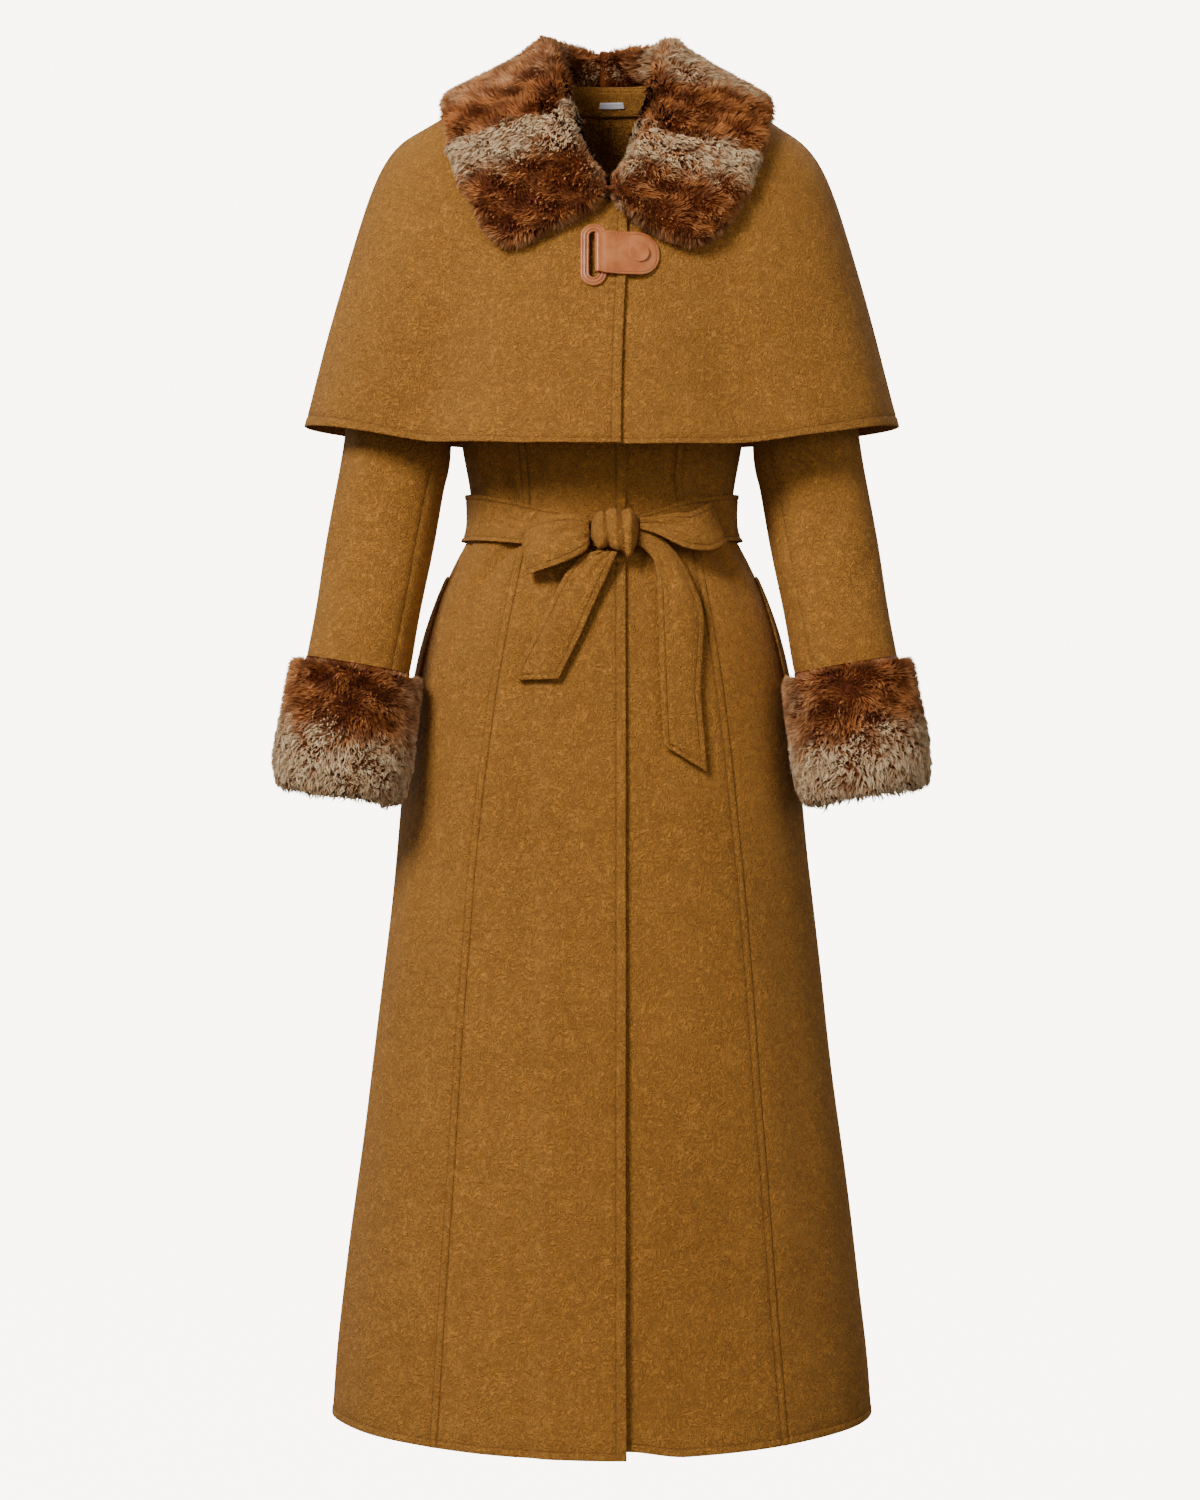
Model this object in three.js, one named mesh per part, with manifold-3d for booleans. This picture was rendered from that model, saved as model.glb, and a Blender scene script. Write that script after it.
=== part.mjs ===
// Cape coat in double-faced wool with a fur collar, fur cuffs, a leather clasp and a tie belt, filled out as worn.
// Millimetres, +Z up. The front faces -Y and +X is the wearer's left. The origin is the centre of the neck opening,
// level with the collar seam at the back of the neck, where the wearer's shoulders carry the coat.
import * as THREE from "three";
import { mergeVertices } from "three/addons/utils/BufferGeometryUtils.js";
import Module from "manifold-3d";

const wasm = await Module();
wasm.setup();

// Driving dimensions
const CLOTH = 2.4; // wall of the double-faced wool
const SEAM_GAP = 0.5; // between two panels at a seam
const LAY_GAP = 0.9; // between cloth layers that lie on each other
const WELT = { width: 7, height: 0.9 }; // the raised lap of each seam
const FRONT_EDGE = 20.5; // the overlapping front edge, to the wearer's left of the centre
const CAPE_EDGE = { neck: 22, hem: 16.5 }; // the same edge on the cape
const UNDERLAP = 30; // how far the covered front runs past the centre
const OVERLAP_RISE = 4.1; // the covering front stands this far off the covered one
const HEM_FLARE = 4; // and this much more at the hem, where it swings free
const BELT = { wall: 3, sideTop: -383, sideBottom: -429.5, knotTop: -408, knotBottom: -440 };
const FUR = { roll: 10, fall: 17, cuff: 13.7 };

const SIDES = { right: -1, left: 1 }; // the wearer's right is at -X
const RAD = Math.PI / 180;
const WOOL = new THREE.MeshStandardMaterial({ color: 0x96631f, roughness: 0.92 });
const FUR_BROWN = new THREE.MeshStandardMaterial({ color: 0x8a5530, roughness: 0.95 });
const LEATHER = new THREE.MeshStandardMaterial({ color: 0xc08258, roughness: 0.45 });
const LABEL_WHITE = new THREE.MeshStandardMaterial({ color: 0xe8e6ea, roughness: 0.7 });

// The coat's body as rings, from the neckline to the hem. half is the half width; front and back are the depths from
// the side line; zSide, zFront and zBack are heights; vee draws the front in to a V; shift moves the ring's centre.
const BODY_RINGS = [
  { half: 66.0, front: 98, back: 60, zSide: -4, zFront: -124, zBack: 0, vee: 1.3, shift: 6 },
  { half: 95.0, front: 103, back: 70, zSide: -18, zFront: -134, zBack: -20, vee: 1.22, shift: 5 },
  { half: 125.0, front: 107, back: 79, zSide: -34.5, zFront: -147, zBack: -45, vee: 1.12, shift: 3 },
  { half: 152.0, front: 111, back: 87, zSide: -51.5, zFront: -160, zBack: -72, vee: 1.05, shift: 1 },
  { half: 168.0, front: 114, back: 92, zSide: -63, zFront: -172, zBack: -98, vee: 1, shift: 0 },
  { half: 174.0, front: 117, back: 95, zSide: -88, zFront: -184, zBack: -122, vee: 1, shift: 0 },
  { half: 174.0, front: 119, back: 97, zSide: -120, zFront: -197, zBack: -150, vee: 1, shift: 0 },
  { half: 167.0, front: 120, back: 97, zSide: -158, zFront: -210, zBack: -180, vee: 1, shift: 0 },
  { half: 158.0, front: 120, back: 95, zSide: -194, zFront: -222, zBack: -206, vee: 1, shift: 0 },
  { half: 148.0, front: 118, back: 92, zSide: -226, zFront: -236, zBack: -232, vee: 1, shift: 0 },
  { half: 140.0, front: 113, back: 88, zSide: -264, zFront: -270, zBack: -268, vee: 1, shift: 0 },
  { half: 132.5, front: 105, back: 85, zSide: -306, zFront: -308, zBack: -307, vee: 1, shift: 0 },
  { half: 126.5, front: 97, back: 83, zSide: -345, zFront: -345, zBack: -345, vee: 1, shift: 0 },
  { half: 120.5, front: 90, back: 81, zSide: -378, zFront: -378, zBack: -378, vee: 1, shift: 0 },
  { half: 118.5, front: 86, back: 80, zSide: -402, zFront: -402, zBack: -402, vee: 1, shift: 0 },
  { half: 121.0, front: 88, back: 83, zSide: -422, zFront: -422, zBack: -422, vee: 1, shift: 0 },
  { half: 129.5, front: 94, back: 90, zSide: -439, zFront: -439, zBack: -439, vee: 1, shift: 0 },
  { half: 139.0, front: 102, back: 99, zSide: -458, zFront: -458, zBack: -458, vee: 1, shift: 0 },
  { half: 150.5, front: 112, back: 111, zSide: -485, zFront: -485, zBack: -485, vee: 1, shift: 0 },
  { half: 161.5, front: 121, back: 122, zSide: -518, zFront: -518, zBack: -518, vee: 1, shift: 0 },
  { half: 170.0, front: 128, back: 131, zSide: -556, zFront: -556, zBack: -556, vee: 1, shift: 0 },
  { half: 177.0, front: 134, back: 137, zSide: -606, zFront: -606, zBack: -606, vee: 1, shift: 0 },
  { half: 185.0, front: 140, back: 143, zSide: -682, zFront: -682, zBack: -682, vee: 1, shift: 0 },
  { half: 194.5, front: 148, back: 151, zSide: -770, zFront: -770, zBack: -770, vee: 1, shift: 0 },
  { half: 206.5, front: 157, back: 160, zSide: -875, zFront: -875, zBack: -875, vee: 1, shift: 0 },
  { half: 220.2, front: 166, back: 169, zSide: -985, zFront: -986, zBack: -985, vee: 1, shift: 0 },
  { half: 232.8, front: 175, back: 178, zSide: -1090, zFront: -1094, zBack: -1091, vee: 1, shift: 0 },
  { half: 241.6, front: 181, back: 184, zSide: -1165, zFront: -1172, zBack: -1167, vee: 1, shift: 0 },
  { half: 245.6, front: 184, back: 187, zSide: -1226, zFront: -1236, zBack: -1228, vee: 1, shift: 0 },
];
const BODY_HEM = BODY_RINGS.length - 1;
const SHOULDER_RING = 4; // the armhole runs from this ring at the shoulder
const ARMPIT_RING = 9; // to this one

// The cape as the same kind of rings, over the body and the upper sleeves.
const CAPE_RINGS = [
  { half: 69.5, front: 106.8, back: 65, zSide: 0.5, zFront: -122.5, zBack: 3, vee: 1.3, shift: 6 },
  { half: 101, front: 112.8, back: 76, zSide: -14.5, zFront: -138, zBack: -20, vee: 1.22, shift: 5 },
  { half: 132, front: 118.3, back: 86, zSide: -30.5, zFront: -155, zBack: -48, vee: 1.1, shift: 3 },
  { half: 161, front: 123, back: 95, zSide: -48, zFront: -173, zBack: -78, vee: 1.02, shift: 1 },
  { half: 183, front: 127.5, back: 103, zSide: -62.5, zFront: -192, zBack: -109, vee: 0.98, shift: 0 },
  { half: 198, front: 132, back: 109, zSide: -81, zFront: -211, zBack: -140, vee: 0.96, shift: 0 },
  { half: 210.5, front: 136, back: 115, zSide: -108, zFront: -232, zBack: -172, vee: 0.95, shift: 0 },
  { half: 224, front: 142, back: 121, zSide: -149, zFront: -260, zBack: -211, vee: 0.94, shift: 0 },
  { half: 240, front: 148, back: 128, zSide: -204, zFront: -291, zBack: -254, vee: 0.94, shift: 0 },
  { half: 255, front: 154, back: 136, zSide: -260, zFront: -321, zBack: -294, vee: 0.94, shift: 0 },
  { half: 271, front: 160, back: 143, zSide: -322, zFront: -350, zBack: -332, vee: 0.94, shift: 0 },
];
const CAPE_HEM = CAPE_RINGS.length - 1;

// Soft folds that run down the cape from a ring to the hem: troughs have a positive depth, ridges a negative one.
const CAPE_FOLDS = [
  { angle: -35, width: 10, depth: 11, from: 3 },
  { angle: 28, width: 10, depth: 9, from: 3 },
  { angle: -62, width: 12, depth: -3, from: 5 },
  { angle: 60, width: 12, depth: -3, from: 5 },
  { angle: -128, width: 9, depth: 9, from: 5 },
  { angle: -158, width: 8, depth: 7, from: 4 },
  { angle: 136, width: 9, depth: 9, from: 5 },
  { angle: 163, width: 8, depth: 6, from: 4 },
];

// Creases of the body beside the belt, each a straight trough from one angle and height to another.
const BODY_CREASES = [
  { angle: -40, z: -430, toAngle: -63, toZ: -515, width: 11, depth: 7 },
  { angle: 52, z: -430, toAngle: 61, toZ: -490, width: 11, depth: 4 },
  { angle: -43.5, z: -394, toAngle: -54, toZ: -330, width: 9, depth: 5 },
  { angle: 46, z: -394, toAngle: 49, toZ: -330, width: 9, depth: 4.5 },
  { angle: -128, z: -430, toAngle: -116, toZ: -515, width: 12, depth: 6 },
  { angle: 132, z: -430, toAngle: 120, toZ: -520, width: 12, depth: 6 },
  { angle: 130, z: -395, toAngle: 122, toZ: -330, width: 10, depth: 5 },
  { angle: -133, z: -395, toAngle: -124, toZ: -330, width: 10, depth: 5 },
];

// The front princess seams: how far each lies from the centre at a height.
const PRINCESS_SEAM = [
  { z: -228, right: 120, left: 118 },
  { z: -268, right: 92, left: 96 },
  { z: -308, right: 76, left: 77 },
  { z: -345, right: 68, left: 66.5 },
  { z: -380, right: 65, left: 64.5 },
  { z: -402, right: 64.5, left: 69 },
  { z: -422, right: 66, left: 76.5 },
  { z: -441, right: 70, left: 81.5 },
  { z: -502, right: 82.5, left: 92.5 },
  { z: -565, right: 93.5, left: 102 },
  { z: -640, right: 103, left: 111 },
  { z: -730, right: 112.5, left: 120 },
  { z: -880, right: 123.5, left: 131 },
  { z: -1050, right: 134.5, left: 143.5 },
  { z: -1236, right: 146, left: 158.5 },
];

// The armhole as an angle round the body, away from the side line, and the sleeve's rings below it.
const ARMHOLE = { front: 29, back: 26, around: 8, princessMeets: 5 };
const SLEEVE_RINGS = [
  { x: 186.5, y: -4, z: -276, across: 40.5, deep: 55 },
  { x: 186, y: -9, z: -310, across: 45.5, deep: 53.5 },
  { x: 187.5, y: -15, z: -345, across: 48.6, deep: 52 },
  { x: 194.8, y: -24, z: -388, across: 48.2, deep: 50.5 },
  { x: 202.3, y: -34, z: -432, across: 47, deep: 49 },
  { x: 209.8, y: -45, z: -478, across: 46.4, deep: 48 },
  { x: 217.3, y: -59, z: -524, across: 46, deep: 47 },
  { x: 224.5, y: -71, z: -568, across: 45.2, deep: 46 },
  { x: 230.7, y: -80, z: -612, across: 44.8, deep: 45.5 },
  { x: 236, y: -87, z: -655, across: 44.3, deep: 45 },
];
const SLEEVE_SEAM = 6; // the two-piece sleeve's seams lie at this step of ARMHOLE.around * 2, counted from the top
const CAP_STEPS = 5;

const mix = (a, b, t) => a + (b - a) * t;
const clamp01 = (t) => Math.min(1, Math.max(0, t));
const smooth = (from, to, v) => {
  const t = clamp01((v - from) / (to - from));
  return t * t * (3 - 2 * t);
};
const bell = (d, width) => Math.exp(-((d / width) ** 2));
const range = (n) => Array.from({ length: n + 1 }, (_, i) => i / n);

// A table's row at a fractional index, on a smooth curve through its rows.
function rowAt(table, w) {
  const last = table.length - 1;
  const i = Math.min(last - 1, Math.max(0, Math.floor(w)));
  const t = w - i;
  const [p, a, b, q] = [table[Math.max(0, i - 1)], table[i], table[i + 1], table[Math.min(last, i + 2)]];
  const row = {};
  for (const key of Object.keys(a)) {
    const ma = i > 0 ? (b[key] - p[key]) / 2 : b[key] - a[key];
    const mb = i + 2 <= last ? (q[key] - a[key]) / 2 : b[key] - a[key];
    const t2 = t * t;
    const t3 = t2 * t;
    row[key] =
      (2 * t3 - 3 * t2 + 1) * a[key] + (t3 - 2 * t2 + t) * ma + (3 * t2 - 2 * t3) * b[key] + (t3 - t2) * mb;
  }
  return row;
}

// The value of a column at a height, along straight lines between the rows.
function atHeight(table, z, key) {
  let i = 0;
  while (i < table.length - 2 && table[i + 1].z > z) i += 1;
  const [a, b] = [table[i], table[i + 1]];
  return mix(a[key], b[key], clamp01((a.z - z) / (a.z - b.z)));
}

// A point of a ring, at an angle from the centre front (0) past the wearer's left side (90) to the back (180).
function ringPoint(row, degrees) {
  const s = Math.sin(degrees * RAD);
  const c = Math.cos(degrees * RAD);
  const power = c > 0 ? row.vee : 1;
  const dip = c > 0 ? row.zFront - row.zSide : row.zBack - row.zSide;
  return new THREE.Vector3(
    row.shift + row.half * Math.sign(s) * Math.abs(s) ** power,
    c > 0 ? -row.front * c : -row.back * c,
    row.zSide + dip * c * c,
  );
}

// The angle at which a ring passes a distance from the centre plane, on the front half.
function angleAt(row, x) {
  const s = Math.min(1, Math.abs(x - row.shift) / row.half);
  return (Math.sign(x - row.shift) * Math.asin(s ** (1 / row.vee))) / RAD;
}

// The outward normal of a surface given as a function of angle and ring.
function normalOf(surface, angle, w, lastRing) {
  const [da, dw] = [0.5, 0.02];
  const along = surface(angle + da, w).sub(surface(angle - da, w));
  const down = surface(angle, Math.min(lastRing, w + dw)).sub(surface(angle, Math.max(0, w - dw)));
  return along.cross(down).normalize().negate();
}

function creaseDepth(angle, z, half) {
  return BODY_CREASES.reduce((sum, c) => {
    const t = (z - c.z) / (c.toZ - c.z);
    const centre = mix(c.angle, c.toAngle, clamp01(t));
    const across = (angle - centre) * RAD * half;
    return sum + c.depth * bell(across, c.width) * smooth(-0.25, 0.1, t) * (1 - smooth(0.45, 1, t));
  }, 0);
}

function bodyForm(angle, w) {
  return ringPoint(rowAt(BODY_RINGS, w), angle);
}

function bodySurface(angle, w) {
  const row = rowAt(BODY_RINGS, w);
  const p = ringPoint(row, angle);
  const inward = creaseDepth(angle, p.z, row.half);
  return p.addScaledVector(normalOf(bodyForm, angle, w, BODY_HEM), -inward);
}

function capeForm(angle, w) {
  return ringPoint(rowAt(CAPE_RINGS, w), angle);
}

function capeSurface(angle, w) {
  const turned = ((((angle + 180) % 360) + 360) % 360) - 180;
  const inward = CAPE_FOLDS.reduce(
    (sum, f) => sum + f.depth * bell(turned - f.angle, f.width) * smooth(f.from, CAPE_HEM, w),
    0,
  );
  return capeForm(angle, w).addScaledVector(normalOf(capeForm, angle, w, CAPE_HEM), -inward);
}

const BODY = { at: bodySurface, rings: BODY_RINGS, last: BODY_HEM };
const CAPE = { at: capeSurface, rings: CAPE_RINGS, last: CAPE_HEM };

// A point of the cloth moved out from its mid-surface.
function movedOut(cloth, angle, w, out) {
  return cloth.at(angle, w).addScaledVector(normalOf(cloth.at, angle, w, cloth.last), out);
}

// A closed mesh from two grids of points, outer and inner, joined round their edges. wrap joins the last column to
// the first, and grids that wrap both ways have no edge.
function closedWall(outer, inner, wrap = false) {
  const rows = outer.length;
  const cols = outer[0].length;
  const points = [...outer.flat(), ...inner.flat()];
  const at = (side, r, c) => side * rows * cols + r * cols + (c % cols);
  const faces = [];
  const quad = (a, b, c, d) => faces.push(a, b, c, a, c, d);
  const spans = wrap ? cols : cols - 1;
  for (let r = 0; r < rows - 1; r += 1)
    for (let c = 0; c < spans; c += 1) {
      quad(at(0, r, c), at(0, r + 1, c), at(0, r + 1, c + 1), at(0, r, c + 1));
      quad(at(1, r, c), at(1, r, c + 1), at(1, r + 1, c + 1), at(1, r + 1, c));
    }
  for (let c = 0; c < spans; c += 1) {
    quad(at(0, 0, c), at(0, 0, c + 1), at(1, 0, c + 1), at(1, 0, c));
    quad(at(0, rows - 1, c + 1), at(0, rows - 1, c), at(1, rows - 1, c), at(1, rows - 1, c + 1));
  }
  if (!wrap)
    for (let r = 0; r < rows - 1; r += 1) {
      quad(at(0, r + 1, 0), at(0, r, 0), at(1, r, 0), at(1, r + 1, 0));
      quad(at(0, r, cols - 1), at(0, r + 1, cols - 1), at(1, r + 1, cols - 1), at(1, r, cols - 1));
    }
  return facingOut(points, faces);
}

// A closed mesh from closed sections, one after another, with a flat cap on each end.
function closedLoft(sections) {
  const around = sections[0].length;
  const points = sections.flat();
  const faces = [];
  const at = (s, i) => s * around + (i % around);
  for (let s = 0; s < sections.length - 1; s += 1)
    for (let i = 0; i < around; i += 1)
      faces.push(at(s, i), at(s + 1, i), at(s + 1, i + 1), at(s, i), at(s + 1, i + 1), at(s, i + 1));
  const ends = [
    [0, false],
    [sections.length - 1, true],
  ];
  for (const [s, far] of ends) {
    const centre = points.length;
    points.push(sections[s].reduce((sum, p) => sum.add(p), new THREE.Vector3()).divideScalar(around));
    for (let i = 0; i < around; i += 1)
      faces.push(...(far ? [centre, at(s, i + 1), at(s, i)] : [centre, at(s, i), at(s, i + 1)]));
  }
  return facingOut(points, faces);
}

// The mesh of these points and faces, with every face turned so that the volume is positive.
function facingOut(points, faces) {
  const [a, b, c] = [new THREE.Vector3(), new THREE.Vector3(), new THREE.Vector3()];
  let volume = 0;
  for (let i = 0; i < faces.length; i += 3) {
    a.copy(points[faces[i]]);
    b.copy(points[faces[i + 1]]);
    c.copy(points[faces[i + 2]]);
    volume += a.dot(b.cross(c));
  }
  if (volume < 0)
    for (let i = 0; i < faces.length; i += 3) [faces[i + 1], faces[i + 2]] = [faces[i + 2], faces[i + 1]];
  return new THREE.BufferGeometry().setFromPoints(points).setIndex(faces);
}

function solidOf(geometry) {
  const bare = new THREE.BufferGeometry().setAttribute("position", geometry.getAttribute("position"));
  bare.setIndex(geometry.getIndex());
  const merged = mergeVertices(bare, 1e-4);
  return new wasm.Manifold(
    new wasm.Mesh({
      numProp: 3,
      vertProperties: new Float32Array(merged.getAttribute("position").array),
      triVerts: new Uint32Array(merged.getIndex().array),
    }),
  );
}

function geometryOf(solid) {
  const mesh = solid.getMesh();
  const points = [];
  for (let i = 0; i < mesh.numVert; i += 1)
    points.push(new THREE.Vector3().fromArray(mesh.vertProperties, i * mesh.numProp));
  return new THREE.BufferGeometry().setFromPoints(points).setIndex([...mesh.triVerts]);
}

const coat = new THREE.Group();

function add(name, geometry, material, parent = coat) {
  const mesh = new THREE.Mesh(geometry, material);
  mesh.name = name;
  parent.add(mesh);
  return mesh;
}

// Where a panel's columns lie between its two edges, with two close ones beside each edge that carries a welt.
function columns(count, span, weltStart, weltEnd) {
  const lap = Math.min(0.2, WELT.width / span);
  const step = Math.min(0.23, (WELT.width + 0.8) / span);
  const from = weltStart ? step : 0;
  const to = weltEnd ? 1 - step : 1;
  const inner = range(count).map((t) => mix(from, to, t));
  return [...(weltStart ? [0, lap] : []), ...inner, ...(weltEnd ? [1 - lap, 1] : [])];
}

// One panel of cloth between two edges, given as angles at each ring. lift(angle, w, point) moves the whole wall out,
// raised edges carry the welt on the outer face.
function panel(cloth, rows, startAngle, endAngle, { count, lift = () => 0, weltStart = false, weltEnd = false }) {
  const outer = [];
  const inner = [];
  for (const w of rows) {
    const [a0, a1] = [startAngle(w), endAngle(w)];
    const half = rowAt(cloth.rings, w).half;
    const span = Math.max(12, Math.abs(a1 - a0) * RAD * half);
    const inset = ((SEAM_GAP / 2) * Math.sign(a1 - a0)) / (RAD * half);
    const lap = Math.min(0.2, WELT.width / span);
    const outerRow = [];
    const innerRow = [];
    for (const t of columns(count, span, weltStart, weltEnd)) {
      const angle = mix(a0 + inset, a1 - inset, t);
      const mid = cloth.at(angle, w);
      const normal = normalOf(cloth.at, angle, w, cloth.last);
      const raised = (weltStart && t <= lap + 1e-6) || (weltEnd && t >= 1 - lap - 1e-6);
      const out = lift(angle, w, mid);
      outerRow.push(mid.clone().addScaledVector(normal, out + CLOTH / 2 + (raised ? WELT.height : 0)));
      innerRow.push(mid.clone().addScaledVector(normal, out - CLOTH / 2));
    }
    outer.push(outerRow);
    inner.push(innerRow);
  }
  return closedWall(outer, inner);
}

// The armhole in the body, as an angle away from the side line at each ring.
const armholeTurn = (w) => clamp01((w - SHOULDER_RING) / (ARMPIT_RING - SHOULDER_RING));
const armholeDrop = (w, reach) => reach * 2 * Math.sqrt(armholeTurn(w) * (1 - armholeTurn(w)));
const armholeRing = (turn) => mix(SHOULDER_RING, ARMPIT_RING, (1 - Math.cos(turn * RAD)) / 2);
const armholeRows = range(ARMHOLE.around).map((t) => armholeRing(180 * t));
const PRINCESS_TOP = armholeRows[ARMHOLE.princessMeets];

const sideAngle = (w, side) => side * (90 - armholeDrop(w, ARMHOLE.front));
const backAngle = (w, side) => side * (90 + armholeDrop(w, ARMHOLE.back));

function princessAngle(w, side) {
  const row = rowAt(BODY_RINGS, w);
  const z = mix(row.zSide, row.zFront, 0.6);
  const key = side < 0 ? "right" : "left";
  const seam = angleAt(row, side * atHeight(PRINCESS_SEAM, z, key));
  const top = sideAngle(PRINCESS_TOP, side);
  return mix(top, seam, smooth(PRINCESS_TOP, ARMPIT_RING, w));
}

// Both panels meet on this line, which never passes the armhole.
const princessEdge = (w, side) =>
  side * Math.min(Math.abs(princessAngle(w, side)), 87 - armholeDrop(w, ARMHOLE.front));

const frontEdge = (w) => angleAt(rowAt(BODY_RINGS, w), FRONT_EDGE);
const underEdge = (w) => angleAt(rowAt(BODY_RINGS, w), -UNDERLAP);

// How far the covering front stands off the body: nothing at its own side, full over the covered front.
function overlapLift(x, z, y = -100) {
  const full = OVERLAP_RISE + HEM_FLARE * smooth(-480, -1236, z) * smooth(-40, FRONT_EDGE, x);
  const chest = smooth(-300, -235, z);
  return full * smooth(-UNDERLAP - 34 - 38 * chest, -UNDERLAP - 14 - 22 * chest, x) * smooth(-55, -78, y);
}

// The covered front hangs a little shorter beside the edge that covers it.
const UNDER_RISE = 7;

const bodyRows = [0, 1, 2, 3, ...armholeRows, 9.8, 11, 12.2, 13, 13.8, 14.6, 15.3, 16, 16.8, 17.7, 18.8, 20, 21.5,
  23.2, 25, 26.6, BODY_HEM];

function frontPanels() {
  for (const [name, side] of Object.entries(SIDES)) {
    const outline = (w) => (w < PRINCESS_TOP - 1e-6 ? sideAngle(w, side) : princessEdge(w, side));
    const covering = side < 0;
    const geometry = panel(BODY, bodyRows, covering ? frontEdge : underEdge, outline, {
      count: 7,
      lift: (angle, w, p) => (covering ? overlapLift(p.x, p.z, p.y) : 0),
    });
    if (!covering) raiseUnderHem(geometry);
    add(`front_${name}`, geometry, WOOL);

    const sideRows = bodyRows.filter((w) => w > PRINCESS_TOP - 1e-6);
    const outer = (w) => sideAngle(w, side);
    add(
      `side_front_${name}`,
      panel(BODY, sideRows, (w) => princessEdge(w, side), outer, { count: 6, weltStart: true }),
      WOOL,
    );
    add(`back_${name}`, panel(BODY, bodyRows, (w) => backAngle(w, side), () => side * 180, { count: 8 }), WOOL);
  }
}

function raiseUnderHem(geometry) {
  const position = geometry.getAttribute("position");
  for (let i = 0; i < position.count; i += 1) {
    const [x, z] = [position.getX(i), position.getZ(i)];
    position.setZ(i, z + UNDER_RISE * smooth(-1100, -1230, z) * (1 - smooth(20, 75, x)));
  }
}

// The sleeve's surface. turn is the angle round it: 0 at the top of the arm, 90 at its front, 180 at its inside.
// run goes from 0 at the armhole to 1 at the first sleeve ring and on by one for each ring.
function sleeveRingPoint(row, turn, side) {
  const out = new THREE.Vector3(1, 0, 0.17).normalize();
  const fore = new THREE.Vector3(0, 1, 0);
  const p = new THREE.Vector3(row.x, row.y, row.z)
    .addScaledVector(out, row.across * Math.cos(turn * RAD))
    .addScaledVector(fore, -row.deep * Math.sin(turn * RAD));
  p.x *= side;
  return p;
}

// A point of the body on the armhole's edge, moved out.
function armholePoint(turn, side, out) {
  const folded = turn > 180 ? 360 - turn : turn;
  const w = armholeRing(folded);
  const back = turn > 180;
  return movedOut(BODY, back ? backAngle(w, side) : sideAngle(w, side), w, out);
}

// In the body's surface, across the armhole's edge and away from its middle.
function awayFromArmhole(turn, side) {
  const along = armholePoint(turn + 3, side, 0).sub(armholePoint(turn - 3, side, 0)).normalize();
  const out = armholePoint(turn, side, 1).sub(armholePoint(turn, side, 0));
  return along.cross(out).normalize().multiplyScalar(side);
}

function sleeveSurface(turn, run, side) {
  const looped = ((turn % 360) + 360) % 360;
  if (run >= 1) return sleeveRingPoint(rowAt(SLEEVE_RINGS, run - 1), looped, side);
  const start = armholePoint(looped, side, CLOTH / 2 + 2 * SEAM_GAP);
  const end = sleeveRingPoint(SLEEVE_RINGS[0], looped, side);
  const under = (1 - Math.cos(looped * RAD)) / 2;
  const sideways = Math.sin(looped * RAD) * -0.35;
  const leave = new THREE.Vector3(side * 1, sideways, mix(-0.45, 0.25, under ** 2))
    .normalize()
    .multiplyScalar(mix(95, 42, Math.sqrt(under)));
  const arrive = new THREE.Vector3(side * 0.17, -0.1, -0.97).multiplyScalar(mix(230, 70, Math.sqrt(under)));
  const [t, t2, t3] = [run, run * run, run * run * run];
  return new THREE.Vector3()
    .addScaledVector(start, 2 * t3 - 3 * t2 + 1)
    .addScaledVector(leave, t3 - 2 * t2 + t)
    .addScaledVector(end, 3 * t2 - 2 * t3)
    .addScaledVector(arrive, t3 - t2);
}

function sleeveNormal(turn, run, side) {
  const last = SLEEVE_RINGS.length;
  const along = sleeveSurface(turn + 2, run, side).sub(sleeveSurface(turn - 2, run, side));
  const down = sleeveSurface(turn, Math.min(last, run + 0.04), side).sub(
    sleeveSurface(turn, Math.max(0, run - 0.04), side),
  );
  return along.cross(down).normalize().multiplyScalar(side);
}

function sleeves() {
  const step = 180 / ARMHOLE.around;
  const runs = [...range(CAP_STEPS), 2, 3, 4.5, 6, 7.5, 9, SLEEVE_RINGS.length];
  for (const [name, side] of Object.entries(SIDES)) {
    const pieces = {
      top_sleeve: [-SLEEVE_SEAM, SLEEVE_SEAM],
      under_sleeve: [SLEEVE_SEAM, 2 * ARMHOLE.around - SLEEVE_SEAM],
    };
    for (const [piece, [from, to]] of Object.entries(pieces)) {
      const count = to - from;
      const inset = SEAM_GAP / 48 / RAD;
      const grids = [1, -1].map((face) =>
        runs.map((run) =>
          range(count).map((t) => {
            const turn = mix(from * step + inset, to * step - inset, t);
            const across = run === 0 ? awayFromArmhole(turn, side) : sleeveNormal(turn, run, side);
            return sleeveSurface(turn, run, side).addScaledVector(across, (face * CLOTH) / 2);
          }),
        ),
      );
      add(`${piece}_${name}`, closedWall(...grids), WOOL);
    }
  }
}

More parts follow.
